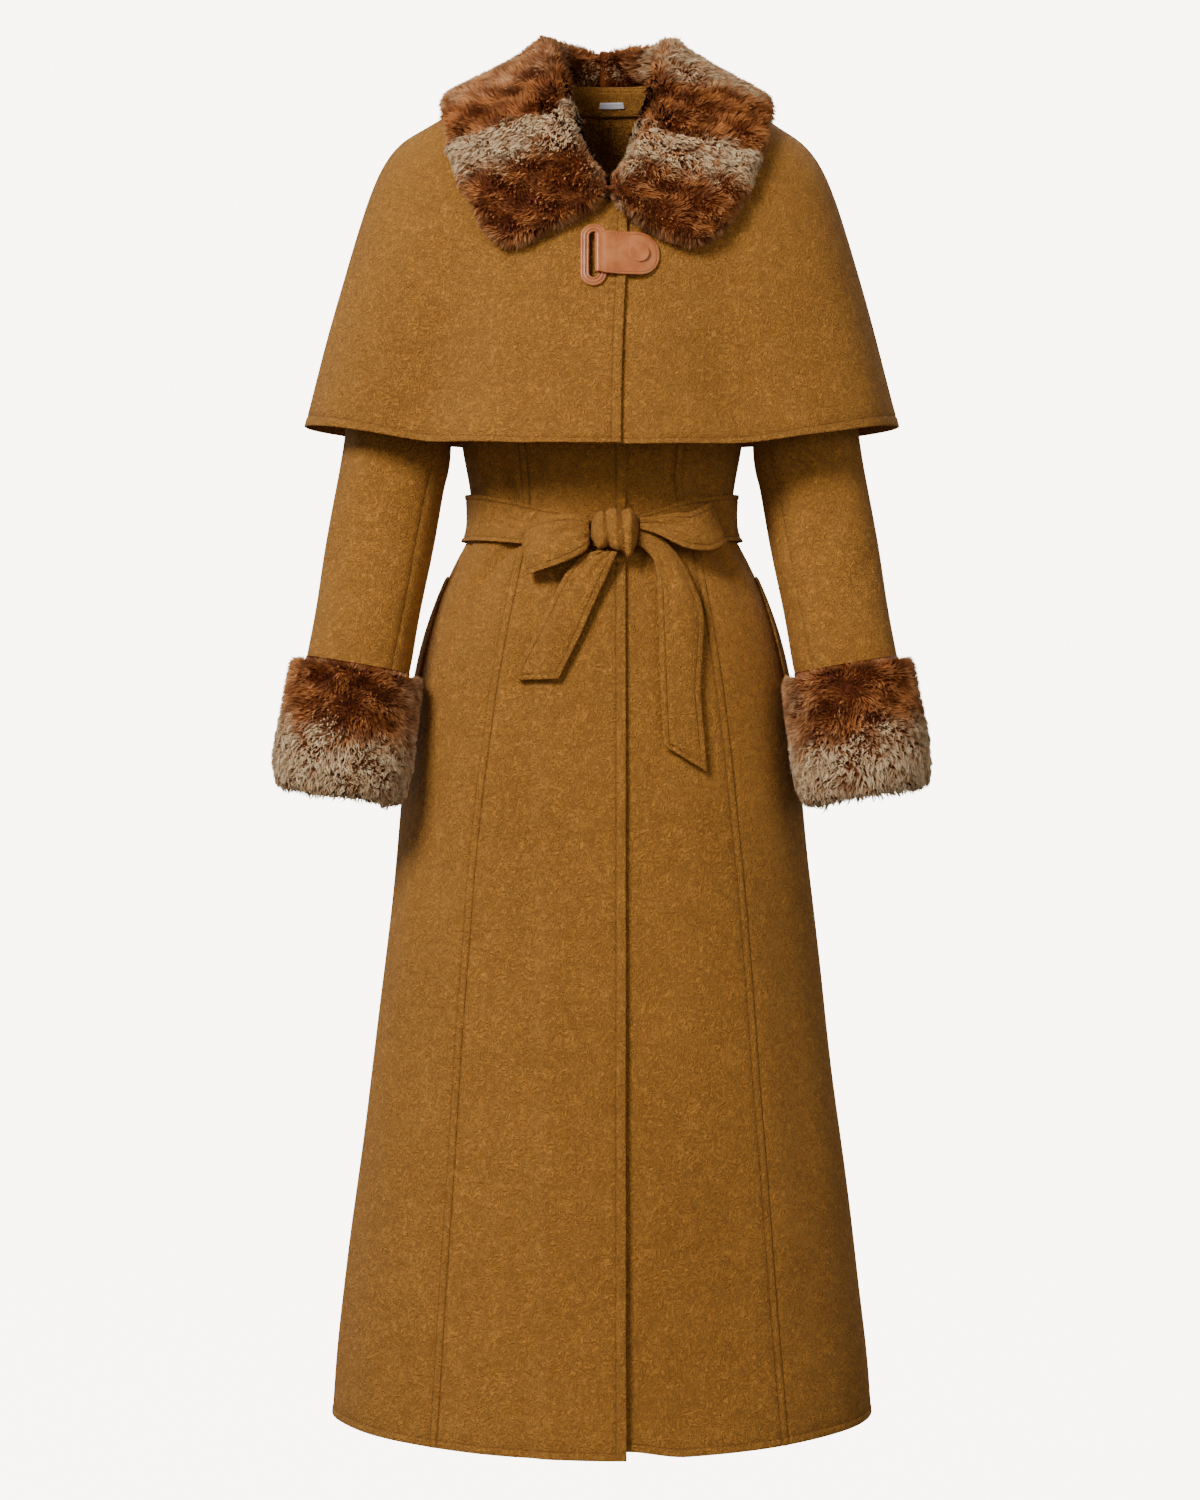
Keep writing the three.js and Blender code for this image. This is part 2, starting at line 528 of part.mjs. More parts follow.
// A fur cuff round the end of each sleeve: a ring with rounded edges.
function furCuffs() {
  const around = 32;
  const last = SLEEVE_RINGS.length;
  const profile = [
    { along: 0.02, out: 0.12 },
    { along: 0.0, out: 0.5 },
    { along: 0.05, out: 0.84 },
    { along: 0.17, out: 1.0 },
    { along: 0.45, out: 1.08 },
    { along: 0.75, out: 1.1 },
    { along: 0.9, out: 0.96 },
    { along: 0.98, out: 0.68 },
    { along: 1.0, out: 0.3 },
    { along: 0.985, out: 0.05 },
  ];
  const top = last - 2.6;
  for (const [name, side] of Object.entries(SIDES)) {
    const section = (turn) => {
      const point = (along, out) => {
        const run = mix(top, last + 0.04, along);
        const wall = sleeveSurface(turn, Math.min(last, run), side);
        const below = sleeveSurface(turn, last, side).sub(sleeveSurface(turn, last - 1, side));
        wall.addScaledVector(below, Math.max(0, run - last));
        return wall.addScaledVector(sleeveNormal(turn, Math.min(last, run), side), out);
      };
      const skin = CLOTH / 2 + SEAM_GAP;
      const hairs = profile.map((p) => point(p.along, skin + FUR.cuff * p.out));
      const lining = [0.985, 0.606, 0.038, 0.02].map((along) => point(along, skin));
      return [...hairs, ...lining];
    };
    const turns = range(around)
      .slice(0, around)
      .map((t) => section(360 * t));
    add(`fur_cuff_${name}`, closedRing(turns), FUR_BROWN);
  }
}

// A ring whose closed section is carried all the way round.
function closedRing(sections) {
  const around = sections[0].length;
  const points = sections.flat();
  const at = (s, i) => (s % sections.length) * around + (i % around);
  const faces = [];
  for (let s = 0; s < sections.length; s += 1)
    for (let i = 0; i < around; i += 1)
      faces.push(at(s, i), at(s + 1, i), at(s + 1, i + 1), at(s, i), at(s + 1, i + 1), at(s, i + 1));
  return facingOut(points, faces);
}

const capeRows = [0, 1, 2, 3, 4, 5, 6, 7, 8, 9, CAPE_HEM];
const capeEdgeX = (w) => mix(CAPE_EDGE.neck, CAPE_EDGE.hem, smooth(2, CAPE_HEM, w));

function capeLift(x) {
  return OVERLAP_RISE * smooth(-UNDERLAP - 44, -UNDERLAP - 16, x);
}

// The lift below anything that lies across the cape's closed front.
const acrossLift = (x) => capeLift(x) * (1 - smooth(CAPE_EDGE.neck + 3, CAPE_EDGE.neck + 30, x));

function cape() {
  const edge = (w) => angleAt(rowAt(CAPE_RINGS, w), capeEdgeX(w));
  const under = (w) => angleAt(rowAt(CAPE_RINGS, w), 4 - UNDERLAP);
  const right = panel(CAPE, capeRows, edge, () => -90, { count: 11, lift: (a, w, p) => capeLift(p.x), weltEnd: true });
  add("cape_front_right", slitForStrap(right), WOOL);
  add("cape_front_left", panel(CAPE, capeRows, under, () => 90, { count: 12, weltEnd: true }), WOOL);
  add("cape_back", panel(CAPE, capeRows, () => 90, () => 270, { count: 20 }), WOOL);
}

// The fur collar lies on the cape from the neckline to an outer edge, and rolls over a stand at the neck. For each
// angle round the neck, reach is the ring of the cape at its outer edge and stand the height of its fold.
const COLLAR = [
  { angle: 3, reachRight: 0.35, reachLeft: 0.35, stand: 0, lean: 0 },
  { angle: 8, reachRight: 1.35, reachLeft: 1.4, stand: 1, lean: 0 },
  { angle: 14, reachRight: 2.4, reachLeft: 2.5, stand: 3, lean: 1 },
  { angle: 20, reachRight: 3.55, reachLeft: 3.6, stand: 5, lean: 2 },
  { angle: 26, reachRight: 4.3, reachLeft: 4.35, stand: 7, lean: 4 },
  { angle: 33, reachRight: 4.2, reachLeft: 4.35, stand: 9, lean: 6 },
  { angle: 41, reachRight: 3.72, reachLeft: 4.02, stand: 12, lean: 8 },
  { angle: 52, reachRight: 3.2, reachLeft: 3.45, stand: 15, lean: 11 },
  { angle: 68, reachRight: 2.65, reachLeft: 2.85, stand: 20, lean: 14 },
  { angle: 86, reachRight: 2.35, reachLeft: 2.5, stand: 21, lean: 15 },
  { angle: 106, reachRight: 2.15, reachLeft: 2.3, stand: 21.5, lean: 13 },
  { angle: 128, reachRight: 2.25, reachLeft: 2.3, stand: 21.5, lean: 9 },
  { angle: 152, reachRight: 2.4, reachLeft: 2.4, stand: 22.5, lean: 6 },
  { angle: 179.7, reachRight: 2.5, reachLeft: 2.5, stand: 23, lean: 5 },
];

const COLLAR_GAP = WELT.height + 2.2;

function collarSection(row, side) {
  const angle = row.angle * side;
  const reach = side < 0 ? row.reachRight : row.reachLeft;
  const up = new THREE.Vector3(0, 0, 1);
  const neck = capeForm(angle, 0);
  const inward = new THREE.Vector3(6 - neck.x, -neck.y * 0.6 - 20 * Math.cos(angle * RAD), 0).normalize();
  const lift = acrossLift(neck.x);
  const front = 1 - smooth(0, 12, row.stand);
  const lie = (w, out) => movedOut(CAPE, angle, w, CLOTH / 2 + COLLAR_GAP + acrossLift(capeForm(angle, w).x) + out);
  const fold = neck
    .clone()
    .addScaledVector(up, row.stand)
    .addScaledVector(inward, row.lean)
    .addScaledVector(normalOf(capeForm, angle, 0, CAPE_HEM), CLOTH / 2 + lift + FUR.roll * mix(0.35, 1.0, front));
  const round = (across, high) =>
    fold.clone().addScaledVector(inward, across * FUR.roll).addScaledVector(up, high * FUR.roll);
  const outline = [lie(0.04, 0.3), round(0.75, -0.5), round(1, -0.05), round(0.72, 0.68), round(0, 1), round(-0.62, 0.85)];
  const blend = (w, out, t) => {
    const p = lie(w, out);
    const from = round(-0.9, 0.45);
    return p.lerp(from, (1 - t) ** 3 * (1 - front * 0.5));
  };
  for (const t of [0.3, 0.5, 0.7, 0.86]) outline.push(blend(reach * t, FUR.fall, t));
  outline.push(lie(reach * 0.965, FUR.fall * 0.78), lie(reach, FUR.fall * 0.42), lie(reach * 0.975, FUR.fall * 0.08));
  for (const t of [0.86, 0.6, 0.3]) outline.push(lie(reach * t, 0));
  return outline;
}

function furCollar() {
  for (const [name, side] of Object.entries(SIDES))
    add(
      `fur_collar_${name}`,
      closedLoft(range(20).map((t) => collarSection(rowAt(COLLAR, t * (COLLAR.length - 1)), side))),
      FUR_BROWN,
    );
}

// The facing inside the back of the neck, and a blank label on it.
function neckFacing() {
  const strip = (angles, rows, near, wall) =>
    closedWall(...[near, near + wall].map((depth) => rows.map((w) => angles.map((a) => movedOut(BODY, a, w, -depth)))));
  const facing = { near: CLOTH / 2 + 0.9, wall: 1.6 };
  const angles = range(14).map((t) => mix(100, 260, t));
  add("back_neck_facing", strip(angles, [0.08, 0.45, 0.8, 1.15], facing.near, facing.wall), WOOL);
  const label = range(3).map((t) => mix(185.5, 169.3, t));
  add("blank_label", strip(label, [0.5, 0.8], facing.near + facing.wall + 0.6, 0.6), LABEL_WHITE);
}

// The pocket welts beside the side seams.
function pocketWelts() {
  const rows = [17.1, 18, 19, 20, 21, 21.6];
  for (const [name, side] of Object.entries(SIDES)) {
    const columnsAcross = [0, 0.5, 1].map((t) => (w) => side * (89 - mix(13, 20, smooth(17, 19, w)) * (13 / 20) * t));
    const grids = [CLOTH / 2 + LAY_GAP + 1.6, CLOTH / 2 + LAY_GAP].map((out) =>
      rows.map((w) => columnsAcross.map((angle) => movedOut(BODY, angle(w), w, out))),
    );
    add(`pocket_welt_${name}`, closedWall(...grids), WOOL);
  }
}

// The ring of the body at a height, below the armholes where the rings are level.
function bodyRingAt(z) {
  let [low, high] = [ARMPIT_RING, BODY_HEM];
  for (let i = 0; i < 40; i += 1) {
    const w = (low + high) / 2;
    if (rowAt(BODY_RINGS, w).zSide > z) low = w;
    else high = w;
  }
  return low;
}

// What crosses the front edge comes down from the covering front past it.
const bridge = (x) => 1 - smooth(FRONT_EDGE + 4, FRONT_EDGE + 34, x);

// A point over the coat's front at a place in the front view, moved out from the outer face.
function onFront(x, z, out) {
  const total = CLOTH / 2 + overlapLift(x, z) * bridge(x) + out;
  let p = new THREE.Vector3();
  let [atX, atZ] = [x, z];
  for (let i = 0; i < 8; i += 1) {
    const w = bodyRingAt(atZ);
    const angle = angleAt(rowAt(BODY_RINGS, w), atX);
    p = bodyForm(angle, w).addScaledVector(normalOf(bodyForm, angle, w, BODY_HEM), total);
    atX += x - p.x;
    atZ += z - p.z;
  }
  return p;
}

const BELT_OUT = 1.9; // clear of the coat and of its welts
const TIE_WALL = 2.6; // the belt's cloth in the bow

// The belt goes once round the waist and dips to the knot in front.
function beltBand() {
  const around = 56;
  const near = (angle) => bell(angle > 180 ? angle - 360 : angle, 42);
  const edgeHeights = (angle) => [
    mix(BELT.sideTop, BELT.knotTop, near(angle)),
    mix(BELT.sideBottom, BELT.knotBottom, near(angle)),
  ];
  const across = [0, 1 / 3, 2 / 3, 1];
  const grids = [BELT.wall, 0].map((wall) =>
    across.map((t) =>
      range(around)
        .slice(0, around)
        .map((s) => {
          const angle = 360 * s;
          const z = mix(...edgeHeights(angle), t);
          const w = bodyRingAt(z);
          const p = bodyForm(angle, w);
          const rise = p.y < 0 ? overlapLift(p.x, z) * bridge(p.x) : 0;
          const out = CLOTH / 2 + rise + BELT_OUT + wall;
          return p.addScaledVector(normalOf(bodyForm, angle, w, BODY_HEM), out);
        }),
    ),
  );
  add("belt_band", closedWall(...grids, true), WOOL);
}

// A strip of the belt from rows of its two edges: leftX, leftZ, rightX, rightZ in the front view and out, the
// distance of its back face from the coat's front.
function tieStrip(rows, wall = TIE_WALL, place = onFront, across = 4) {
  const middle = rows.map((r) =>
    range(across).map((t) => {
      const crown = (r.crown ?? 0) * 4 * t * (1 - t);
      return place(mix(r.leftX, r.rightX, t), mix(r.leftZ, r.rightZ, t), r.out + crown + wall / 2);
    }),
  );
  const last = rows.length - 1;
  const normals = middle.map((row, i) =>
    row.map((_, j) => {
      const along = middle[Math.min(last, i + 1)][j].clone().sub(middle[Math.max(0, i - 1)][j]);
      const over = row[Math.min(across, j + 1)].clone().sub(row[Math.max(0, j - 1)]);
      return along.cross(over).normalize();
    }),
  );
  const grids = [wall / 2, -wall / 2].map((out) =>
    middle.map((row, i) => row.map((p, j) => p.clone().addScaledVector(normals[i][j], out))),
  );
  return closedWall(...grids);
}

const KNOT = { x: 11.5, z: -421, half: 22, high: 18.5, deep: 12, out: BELT_OUT + BELT.wall + 0.5 };
const KNOT_NUB = { along: 0.66, width: 0.3, drop: 10 };

// The knot is a round-edged wrap with three ridges that slant across it and a nub at its lower end.
function beltKnot() {
  const slices = 10;
  const around = 18;
  const sections = range(slices).map((t) => {
    const along = mix(-1, 1, mix(0.03, 0.97, t));
    const full = Math.sqrt(1 - along ** 4) * 0.92 + 0.08;
    return range(around)
      .slice(0, around)
      .map((s) => {
        const a = 2 * Math.PI * s;
        const ridge = 1 + 0.07 * Math.cos(3 * Math.PI * along + 1.4 * Math.sin(a));
        const nub = KNOT_NUB.drop * bell(along - KNOT_NUB.along, KNOT_NUB.width) * Math.min(0, Math.sin(a)) ** 2;
        const high = Math.sin(a) * KNOT.high * full * ridge - nub;
        const deep = (1 - Math.cos(a)) * KNOT.deep * full * ridge;
        return onFront(KNOT.x + along * KNOT.half + 0.1 * high, KNOT.z + high, KNOT.out + deep + 0.6 * (1 - full));
      });
  });
  add("belt_knot", closedLoft(sections), WOOL);
}

// Each loop of the bow runs out from the knot, turns over at its far end and comes back behind itself.
const LOOPS = {
  right: [
    { leftX: -12, leftZ: -413.5, rightX: -12, rightZ: -434, out: 13 },
    { leftX: -25, leftZ: -409.5, rightX: -17, rightZ: -442.5, out: 20, crown: 3 },
    { leftX: -46, leftZ: -410.5, rightX: -37, rightZ: -452.5, out: 22, crown: 3 },
    { leftX: -64, leftZ: -415.5, rightX: -57, rightZ: -459, out: 20, crown: 2 },
    { leftX: -71.5, leftZ: -421.5, rightX: -65, rightZ: -461.5, out: 15, crown: 1 },
    { leftX: -71.5, leftZ: -420, rightX: -65, rightZ: -458, out: 10 },
    { leftX: -60, leftZ: -414, rightX: -54, rightZ: -450, out: 7.5 },
    { leftX: -36, leftZ: -407, rightX: -32, rightZ: -438, out: 7.8 },
    { leftX: -12, leftZ: -411, rightX: -12, rightZ: -428, out: 7.5 },
  ],
  left: [
    { leftX: 34, leftZ: -412, rightX: 34, rightZ: -420, out: 12 },
    { leftX: 50, leftZ: -409.5, rightX: 50, rightZ: -425, out: 18, crown: 1 },
    { leftX: 64, leftZ: -407, rightX: 63, rightZ: -432, out: 21, crown: 2 },
    { leftX: 79, leftZ: -405.5, rightX: 79, rightZ: -438.5, out: 22, crown: 3 },
    { leftX: 92, leftZ: -399, rightX: 98, rightZ: -439, out: 20, crown: 2 },
    { leftX: 97.5, leftZ: -394.5, rightX: 112, rightZ: -431, out: 14, crown: 1 },
    { leftX: 95, leftZ: -391, rightX: 110, rightZ: -429, out: 9 },
    { leftX: 83, leftZ: -391, rightX: 94, rightZ: -428, out: 7.2 },
    { leftX: 67, leftZ: -396, rightX: 70, rightZ: -424, out: 7.2 },
    { leftX: 50, leftZ: -404, rightX: 50, rightZ: -417, out: 7.2 },
    { leftX: 34, leftZ: -409, rightX: 34, rightZ: -415, out: 7.2 },
  ],
};
const TAILS = {
  right: [
    { leftX: -1, leftZ: -441, rightX: 13, rightZ: -442, out: 13, crown: 1 },
    { leftX: -17, leftZ: -446.5, rightX: 8.5, rightZ: -452, out: 11, crown: 3 },
    { leftX: -30, leftZ: -459, rightX: 2.5, rightZ: -466, out: 9, crown: 3 },
    { leftX: -42, leftZ: -481, rightX: -7, rightZ: -487, out: 7, crown: 2 },
    { leftX: -57, leftZ: -512, rightX: -20, rightZ: -517, out: 6, crown: 2 },
    { leftX: -75, leftZ: -547, rightX: -32, rightZ: -541.5, out: 5, crown: 1 },
    { leftX: -73.5, leftZ: -555.5, rightX: -38.5, rightZ: -555, out: 5 },
  ],
  left: [
    { leftX: 33, leftZ: -434, rightX: 33.6, rightZ: -418, out: 7, crown: 1 },
    { leftX: 41, leftZ: -441, rightX: 46, rightZ: -423, out: 8, crown: 3 },
    { leftX: 47, leftZ: -449, rightX: 58, rightZ: -433, out: 8, crown: 4 },
    { leftX: 49.5, leftZ: -463, rightX: 71, rightZ: -450, out: 7.5, crown: 5 },
    { leftX: 50, leftZ: -480, rightX: 82.5, rightZ: -473, out: 7, crown: 5 },
    { leftX: 50.5, leftZ: -502, rightX: 90, rightZ: -498, out: 6, crown: 4 },
    { leftX: 51.5, leftZ: -530, rightX: 89, rightZ: -530, out: 4.5, crown: 3 },
    { leftX: 52.5, leftZ: -565, rightX: 87, rightZ: -565, out: 3.5, crown: 2 },
    { leftX: 54, leftZ: -597, rightX: 90, rightZ: -603, out: 3, crown: 1 },
    { leftX: 55, leftZ: -614, rightX: 92.5, rightZ: -637, out: 3 },
  ],
};

function bow() {
  beltKnot();
  for (const name of Object.keys(SIDES)) {
    add(`belt_loop_${name}`, tieStrip(LOOPS[name]), WOOL);
    add(`belt_tail_${name}`, tieStrip(TAILS[name]), WOOL);
  }
}

// The leather clasp: a stitched ring on the covering side of the cape, and a strap that comes up through its slot,
// folds over and snaps shut.
const CLASP = {
  x: -7.3, z: -181.6, width: 24, height: 58, slot: 8.2, slotHeight: 43.6, wall: 2.6,
  strapZ: -180.3, strapTo: 50, strapHalf: 19, strapWall: 2, snapX: 32.2, snapZ: -179.3, snap: 9.2, snapWall: 1.2,
};

// A point over the cape's front at a place in the front view, moved out from the outer face.
function onCape(x, z, out) {
  let [low, high] = [0, CAPE_HEM];
  for (let i = 0; i < 40; i += 1) {
    const w = (low + high) / 2;
    const row = rowAt(CAPE_RINGS, w);
    if (ringPoint(row, angleAt(row, x)).z > z) low = w;
    else high = w;
  }
  return movedOut(CAPE, angleAt(rowAt(CAPE_RINGS, low), x), low, CLOTH / 2 + acrossLift(x) + out);
}

// Sets a mesh on the cape's front, with its own axis turned to face outwards.
function seatOnCape(mesh, axis, x, z, out) {
  const seat = onCape(x, z, out);
  const normal = onCape(x, z, out + 1).sub(seat).normalize();
  mesh.quaternion.setFromUnitVectors(axis, normal);
  mesh.position.copy(seat);
}

// The slit in the cape, behind the ring's slot.
function slitForStrap(geometry) {
  const cutter = new THREE.BoxGeometry(CLASP.slot - 1, 9, CLASP.slotHeight - 2);
  cutter.deleteAttribute("normal").deleteAttribute("uv");
  const centre = onCape(CLASP.x, CLASP.z, -CLOTH / 2);
  cutter.rotateX(-14 * RAD).translate(centre.x, centre.y, centre.z);
  return geometryOf(solidOf(geometry).subtract(solidOf(cutter)));
}

function stadium(width, height, Kind) {
  const [r, straight] = [width / 2, height / 2 - width / 2];
  const outline = new Kind();
  outline.absarc(0, straight, r, 0, Math.PI, false);
  outline.absarc(0, -straight, r, Math.PI, 2 * Math.PI, false);
  outline.closePath();
  return outline;
}

function clasp() {
  const plate = stadium(CLASP.width, CLASP.height, THREE.Shape);
  plate.holes.push(stadium(CLASP.slot, CLASP.slotHeight, THREE.Path));
  const bevel = { bevelEnabled: true, bevelThickness: 0.7, bevelSize: 0.7, bevelOffset: -0.7, bevelSegments: 1 };
  const ring = new THREE.ExtrudeGeometry(plate, { depth: CLASP.wall - 1.4, curveSegments: 8, ...bevel });
  seatOnCape(add("clasp_ring", ring, LEATHER), new THREE.Vector3(0, 0, 1), CLASP.x, CLASP.z, LAY_GAP + 0.7);

  // The strap comes up through the slot, over the ring's bar and down onto the cape.
  const over = LAY_GAP + CLASP.wall + 0.7;
  const run = [
    { x: -5.5, out: -2.6 },
    { x: -5.5, out: 1.4 },
    { x: -5.2, out: 3.6 },
    { x: -3.4, out: 4.9 },
    { x: 0, out: over },
    { x: 5, out: over },
    { x: 10, out: over - 1 },
    { x: 14.5, out: over - 2.4 },
    { x: 20, out: LAY_GAP + 0.3 },
    { x: 31, out: LAY_GAP + 0.2 },
    { x: 38, out: LAY_GAP + 0.2 },
    { x: 43, out: LAY_GAP + 0.2 },
    { x: 46.5, out: LAY_GAP + 0.2 },
    { x: 49, out: LAY_GAP + 0.2 },
    { x: 50.4, out: LAY_GAP + 0.2 },
  ];
  const half = (x) => {
    const tip = Math.sqrt(1 - clamp01((x - 31) / (CLASP.strapTo - 31)) ** 2.2);
    return mix(CLASP.strapHalf - 1.4, CLASP.strapHalf, smooth(-2.6, 6, x)) * tip;
  };
  const rows = run.map(({ x, out }) => ({
    leftX: x, leftZ: CLASP.strapZ + half(x), rightX: x, rightZ: CLASP.strapZ - half(x), out,
  }));
  add("clasp_strap", tieStrip(rows, CLASP.strapWall, onCape), LEATHER);

  const snap = new THREE.CylinderGeometry(CLASP.snap - 0.4, CLASP.snap, CLASP.snapWall, 24);
  const high = LAY_GAP + 0.2 + CLASP.strapWall + 0.8 + CLASP.snapWall / 2;
  seatOnCape(add("clasp_snap", snap, LEATHER), new THREE.Vector3(0, 1, 0), CLASP.snapX, CLASP.snapZ, high);
}

frontPanels();
sleeves();
furCuffs();
cape();
furCollar();
neckFacing();
pocketWelts();
beltBand();
bow();
clasp();

export default coat;
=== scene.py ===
"""A wool cape coat with a fur collar and cuffs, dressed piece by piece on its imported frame."""

import itertools
import logging
import math
from collections.abc import Callable, Mapping, Sequence
from dataclasses import dataclass, field
from enum import Enum
from typing import ClassVar

import bmesh
import bpy
import numpy as np
from mathutils import Matrix, Vector


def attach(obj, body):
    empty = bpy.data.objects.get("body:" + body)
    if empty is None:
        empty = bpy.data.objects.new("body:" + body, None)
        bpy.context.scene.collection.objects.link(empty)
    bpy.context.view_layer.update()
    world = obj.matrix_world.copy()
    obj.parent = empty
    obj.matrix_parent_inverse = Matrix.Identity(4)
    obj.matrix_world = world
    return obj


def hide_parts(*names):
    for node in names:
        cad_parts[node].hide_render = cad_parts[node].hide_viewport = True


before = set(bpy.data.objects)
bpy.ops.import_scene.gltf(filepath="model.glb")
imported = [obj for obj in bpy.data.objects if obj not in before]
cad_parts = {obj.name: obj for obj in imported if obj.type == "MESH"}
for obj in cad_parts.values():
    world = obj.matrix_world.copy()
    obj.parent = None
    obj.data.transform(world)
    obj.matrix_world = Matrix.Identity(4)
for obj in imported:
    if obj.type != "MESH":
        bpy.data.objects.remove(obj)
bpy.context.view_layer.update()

Array = np.ndarray
Material = bpy.types.Material
Mesh = bpy.types.Mesh
Object = bpy.types.Object
Colour = tuple[float, float, float]
Point = tuple[float, float, float]

log = logging.getLogger("coat")

MM = 0.001
RAD = math.pi / 180
BODY = "root"

# Sizes shared with the solids, in millimetres.
CLOTH = 2.4
SEAM_GAP = 0.5
SEAM_OVERLAP = 0.12  # of two sewn panels, so that no light shows between them
LAY_GAP = 0.9
WELT_WIDTH = 7.0
WELT_HEIGHT = 0.9
FRONT_EDGE = 20.5
CAPE_EDGE_NECK = 22.0
CAPE_EDGE_HEM = 16.5
UNDERLAP = 30.0
OVERLAP_RISE = 4.1
HEM_FLARE = 4.0
UNDER_RISE = 7.0
BELT_OUT = 1.9


class Side(Enum):
    """A side of the wearer."""

    RIGHT = -1
    LEFT = 1

    @property
    def word(self) -> str:
        """The side's name in a piece's name."""
        return self.name.lower()


class Held(Enum):
    """How a sheet of cloth is held."""

    HUNG = "hung"
    DRAPED = "draped"
    LAID = "laid"
    FOLDED = "folded"


# Rings of the body from the neckline to the hem:
# half width, depth in front, depth behind, height at the side, in front, behind, vee, shift.
BODY_RINGS = np.array([
    (66.0, 98, 60, -4, -124, 0, 1.3, 6),
    (95.0, 103, 70, -18, -134, -20, 1.22, 5),
    (125.0, 107, 79, -34.5, -147, -45, 1.12, 3),
    (152.0, 111, 87, -51.5, -160, -72, 1.05, 1),
    (168.0, 114, 92, -63, -172, -98, 1, 0),
    (174.0, 117, 95, -88, -184, -122, 1, 0),
    (174.0, 119, 97, -120, -197, -150, 1, 0),
    (167.0, 120, 97, -158, -210, -180, 1, 0),
    (158.0, 120, 95, -194, -222, -206, 1, 0),
    (148.0, 118, 92, -226, -236, -232, 1, 0),
    (140.0, 113, 88, -264, -270, -268, 1, 0),
    (132.5, 105, 85, -306, -308, -307, 1, 0),
    (126.5, 97, 83, -345, -345, -345, 1, 0),
    (120.5, 90, 81, -378, -378, -378, 1, 0),
    (118.5, 86, 80, -402, -402, -402, 1, 0),
    (121.0, 88, 83, -422, -422, -422, 1, 0),
    (129.5, 94, 90, -439, -439, -439, 1, 0),
    (139.0, 102, 99, -458, -458, -458, 1, 0),
    (150.5, 112, 111, -485, -485, -485, 1, 0),
    (161.5, 121, 122, -518, -518, -518, 1, 0),
    (170.0, 128, 131, -556, -556, -556, 1, 0),
    (177.0, 134, 137, -606, -606, -606, 1, 0),
    (185.0, 140, 143, -682, -682, -682, 1, 0),
    (194.5, 148, 151, -770, -770, -770, 1, 0),
    (206.5, 157, 160, -875, -875, -875, 1, 0),
    (220.2, 166, 169, -985, -986, -985, 1, 0),
    (232.8, 175, 178, -1090, -1094, -1091, 1, 0),
    (241.6, 181, 184, -1165, -1172, -1167, 1, 0),
    (245.6, 184, 187, -1226, -1236, -1228, 1, 0),
], float)
CAPE_RINGS = np.array([
    (69.5, 106.8, 65, 0.5, -122.5, 3, 1.3, 6),
    (101, 112.8, 76, -14.5, -138, -20, 1.22, 5),
    (132, 118.3, 86, -30.5, -155, -48, 1.1, 3),
    (161, 123, 95, -48, -173, -78, 1.02, 1),
    (183, 127.5, 103, -62.5, -192, -109, 0.98, 0),
    (198, 132, 109, -81, -211, -140, 0.96, 0),
    (210.5, 136, 115, -108, -232, -172, 0.95, 0),
    (224, 142, 121, -149, -260, -211, 0.94, 0),
    (240, 148, 128, -204, -291, -254, 0.94, 0),
    (255, 154, 136, -260, -321, -294, 0.94, 0),
    (271, 160, 143, -322, -350, -332, 0.94, 0),
], float)
BODY_HEM = len(BODY_RINGS) - 1
CAPE_HEM = len(CAPE_RINGS) - 1
SHOULDER_RING = 4
ARMPIT_RING = 9
# Height, and how far the princess seam lies from the centre on the right and on the left.
PRINCESS_SEAM = np.array([
    (-228, 120, 118), (-268, 92, 96), (-308, 76, 77), (-345, 68, 66.5), (-380, 65, 64.5), (-402, 64.5, 69),
    (-422, 66, 76.5), (-441, 70, 81.5), (-502, 82.5, 92.5), (-565, 93.5, 102), (-640, 103, 111),
    (-730, 112.5, 120), (-880, 123.5, 131), (-1050, 134.5, 143.5), (-1236, 146, 158.5),
], float)
# Centre x, y and z, half width and half depth of the sleeve's rings.
SLEEVE_RINGS = np.array([
    (186.5, -4, -276, 40.5, 55), (186, -9, -310, 45.5, 53.5), (187.5, -15, -345, 48.6, 52),
    (194.8, -24, -388, 48.2, 50.5), (202.3, -34, -432, 47, 49), (209.8, -45, -478, 46.4, 48),
    (217.3, -59, -524, 46, 47), (224.5, -71, -568, 45.2, 46), (230.7, -80, -612, 44.8, 45.5),
    (236, -87, -655, 44.3, 45),
], float)
# Angle round the neck, reach on the right and on the left, stand and lean of the collar.
COLLAR_ROWS = np.array([
    (3, 0.35, 0.35, 0, 0), (8, 1.35, 1.4, 1, 0), (14, 2.4, 2.5, 3, 1), (20, 3.55, 3.6, 5, 2),
    (26, 4.3, 4.35, 7, 4), (33, 4.2, 4.35, 9, 6), (41, 3.72, 4.02, 12, 8), (52, 3.2, 3.45, 15, 11),
    (68, 2.65, 2.85, 20, 14), (86, 2.35, 2.5, 21, 15), (106, 2.15, 2.3, 23.5, 13), (128, 2.25, 2.3, 24.5, 9),
    (152, 2.4, 2.4, 24.5, 6), (179.7, 2.5, 2.5, 24.5, 5),
], float)


def smooth(start: float | Array, end: float | Array, value: Array | float) -> Array:
    """A soft step of the value, from 0 at start to 1 at end."""
    t = np.clip((value - start) / (end - start), 0, 1)
    return t * t * (3 - 2 * t)


def bell(distance: Array | float, width: float) -> Array:
    """A soft bump of the given half width."""
    return np.exp(-((distance / width) ** 2))


def mix(a: Array | float, b: Array | float, t: Array | float) -> Array | float:
    """The value between a and b at t."""
    return a + (b - a) * t


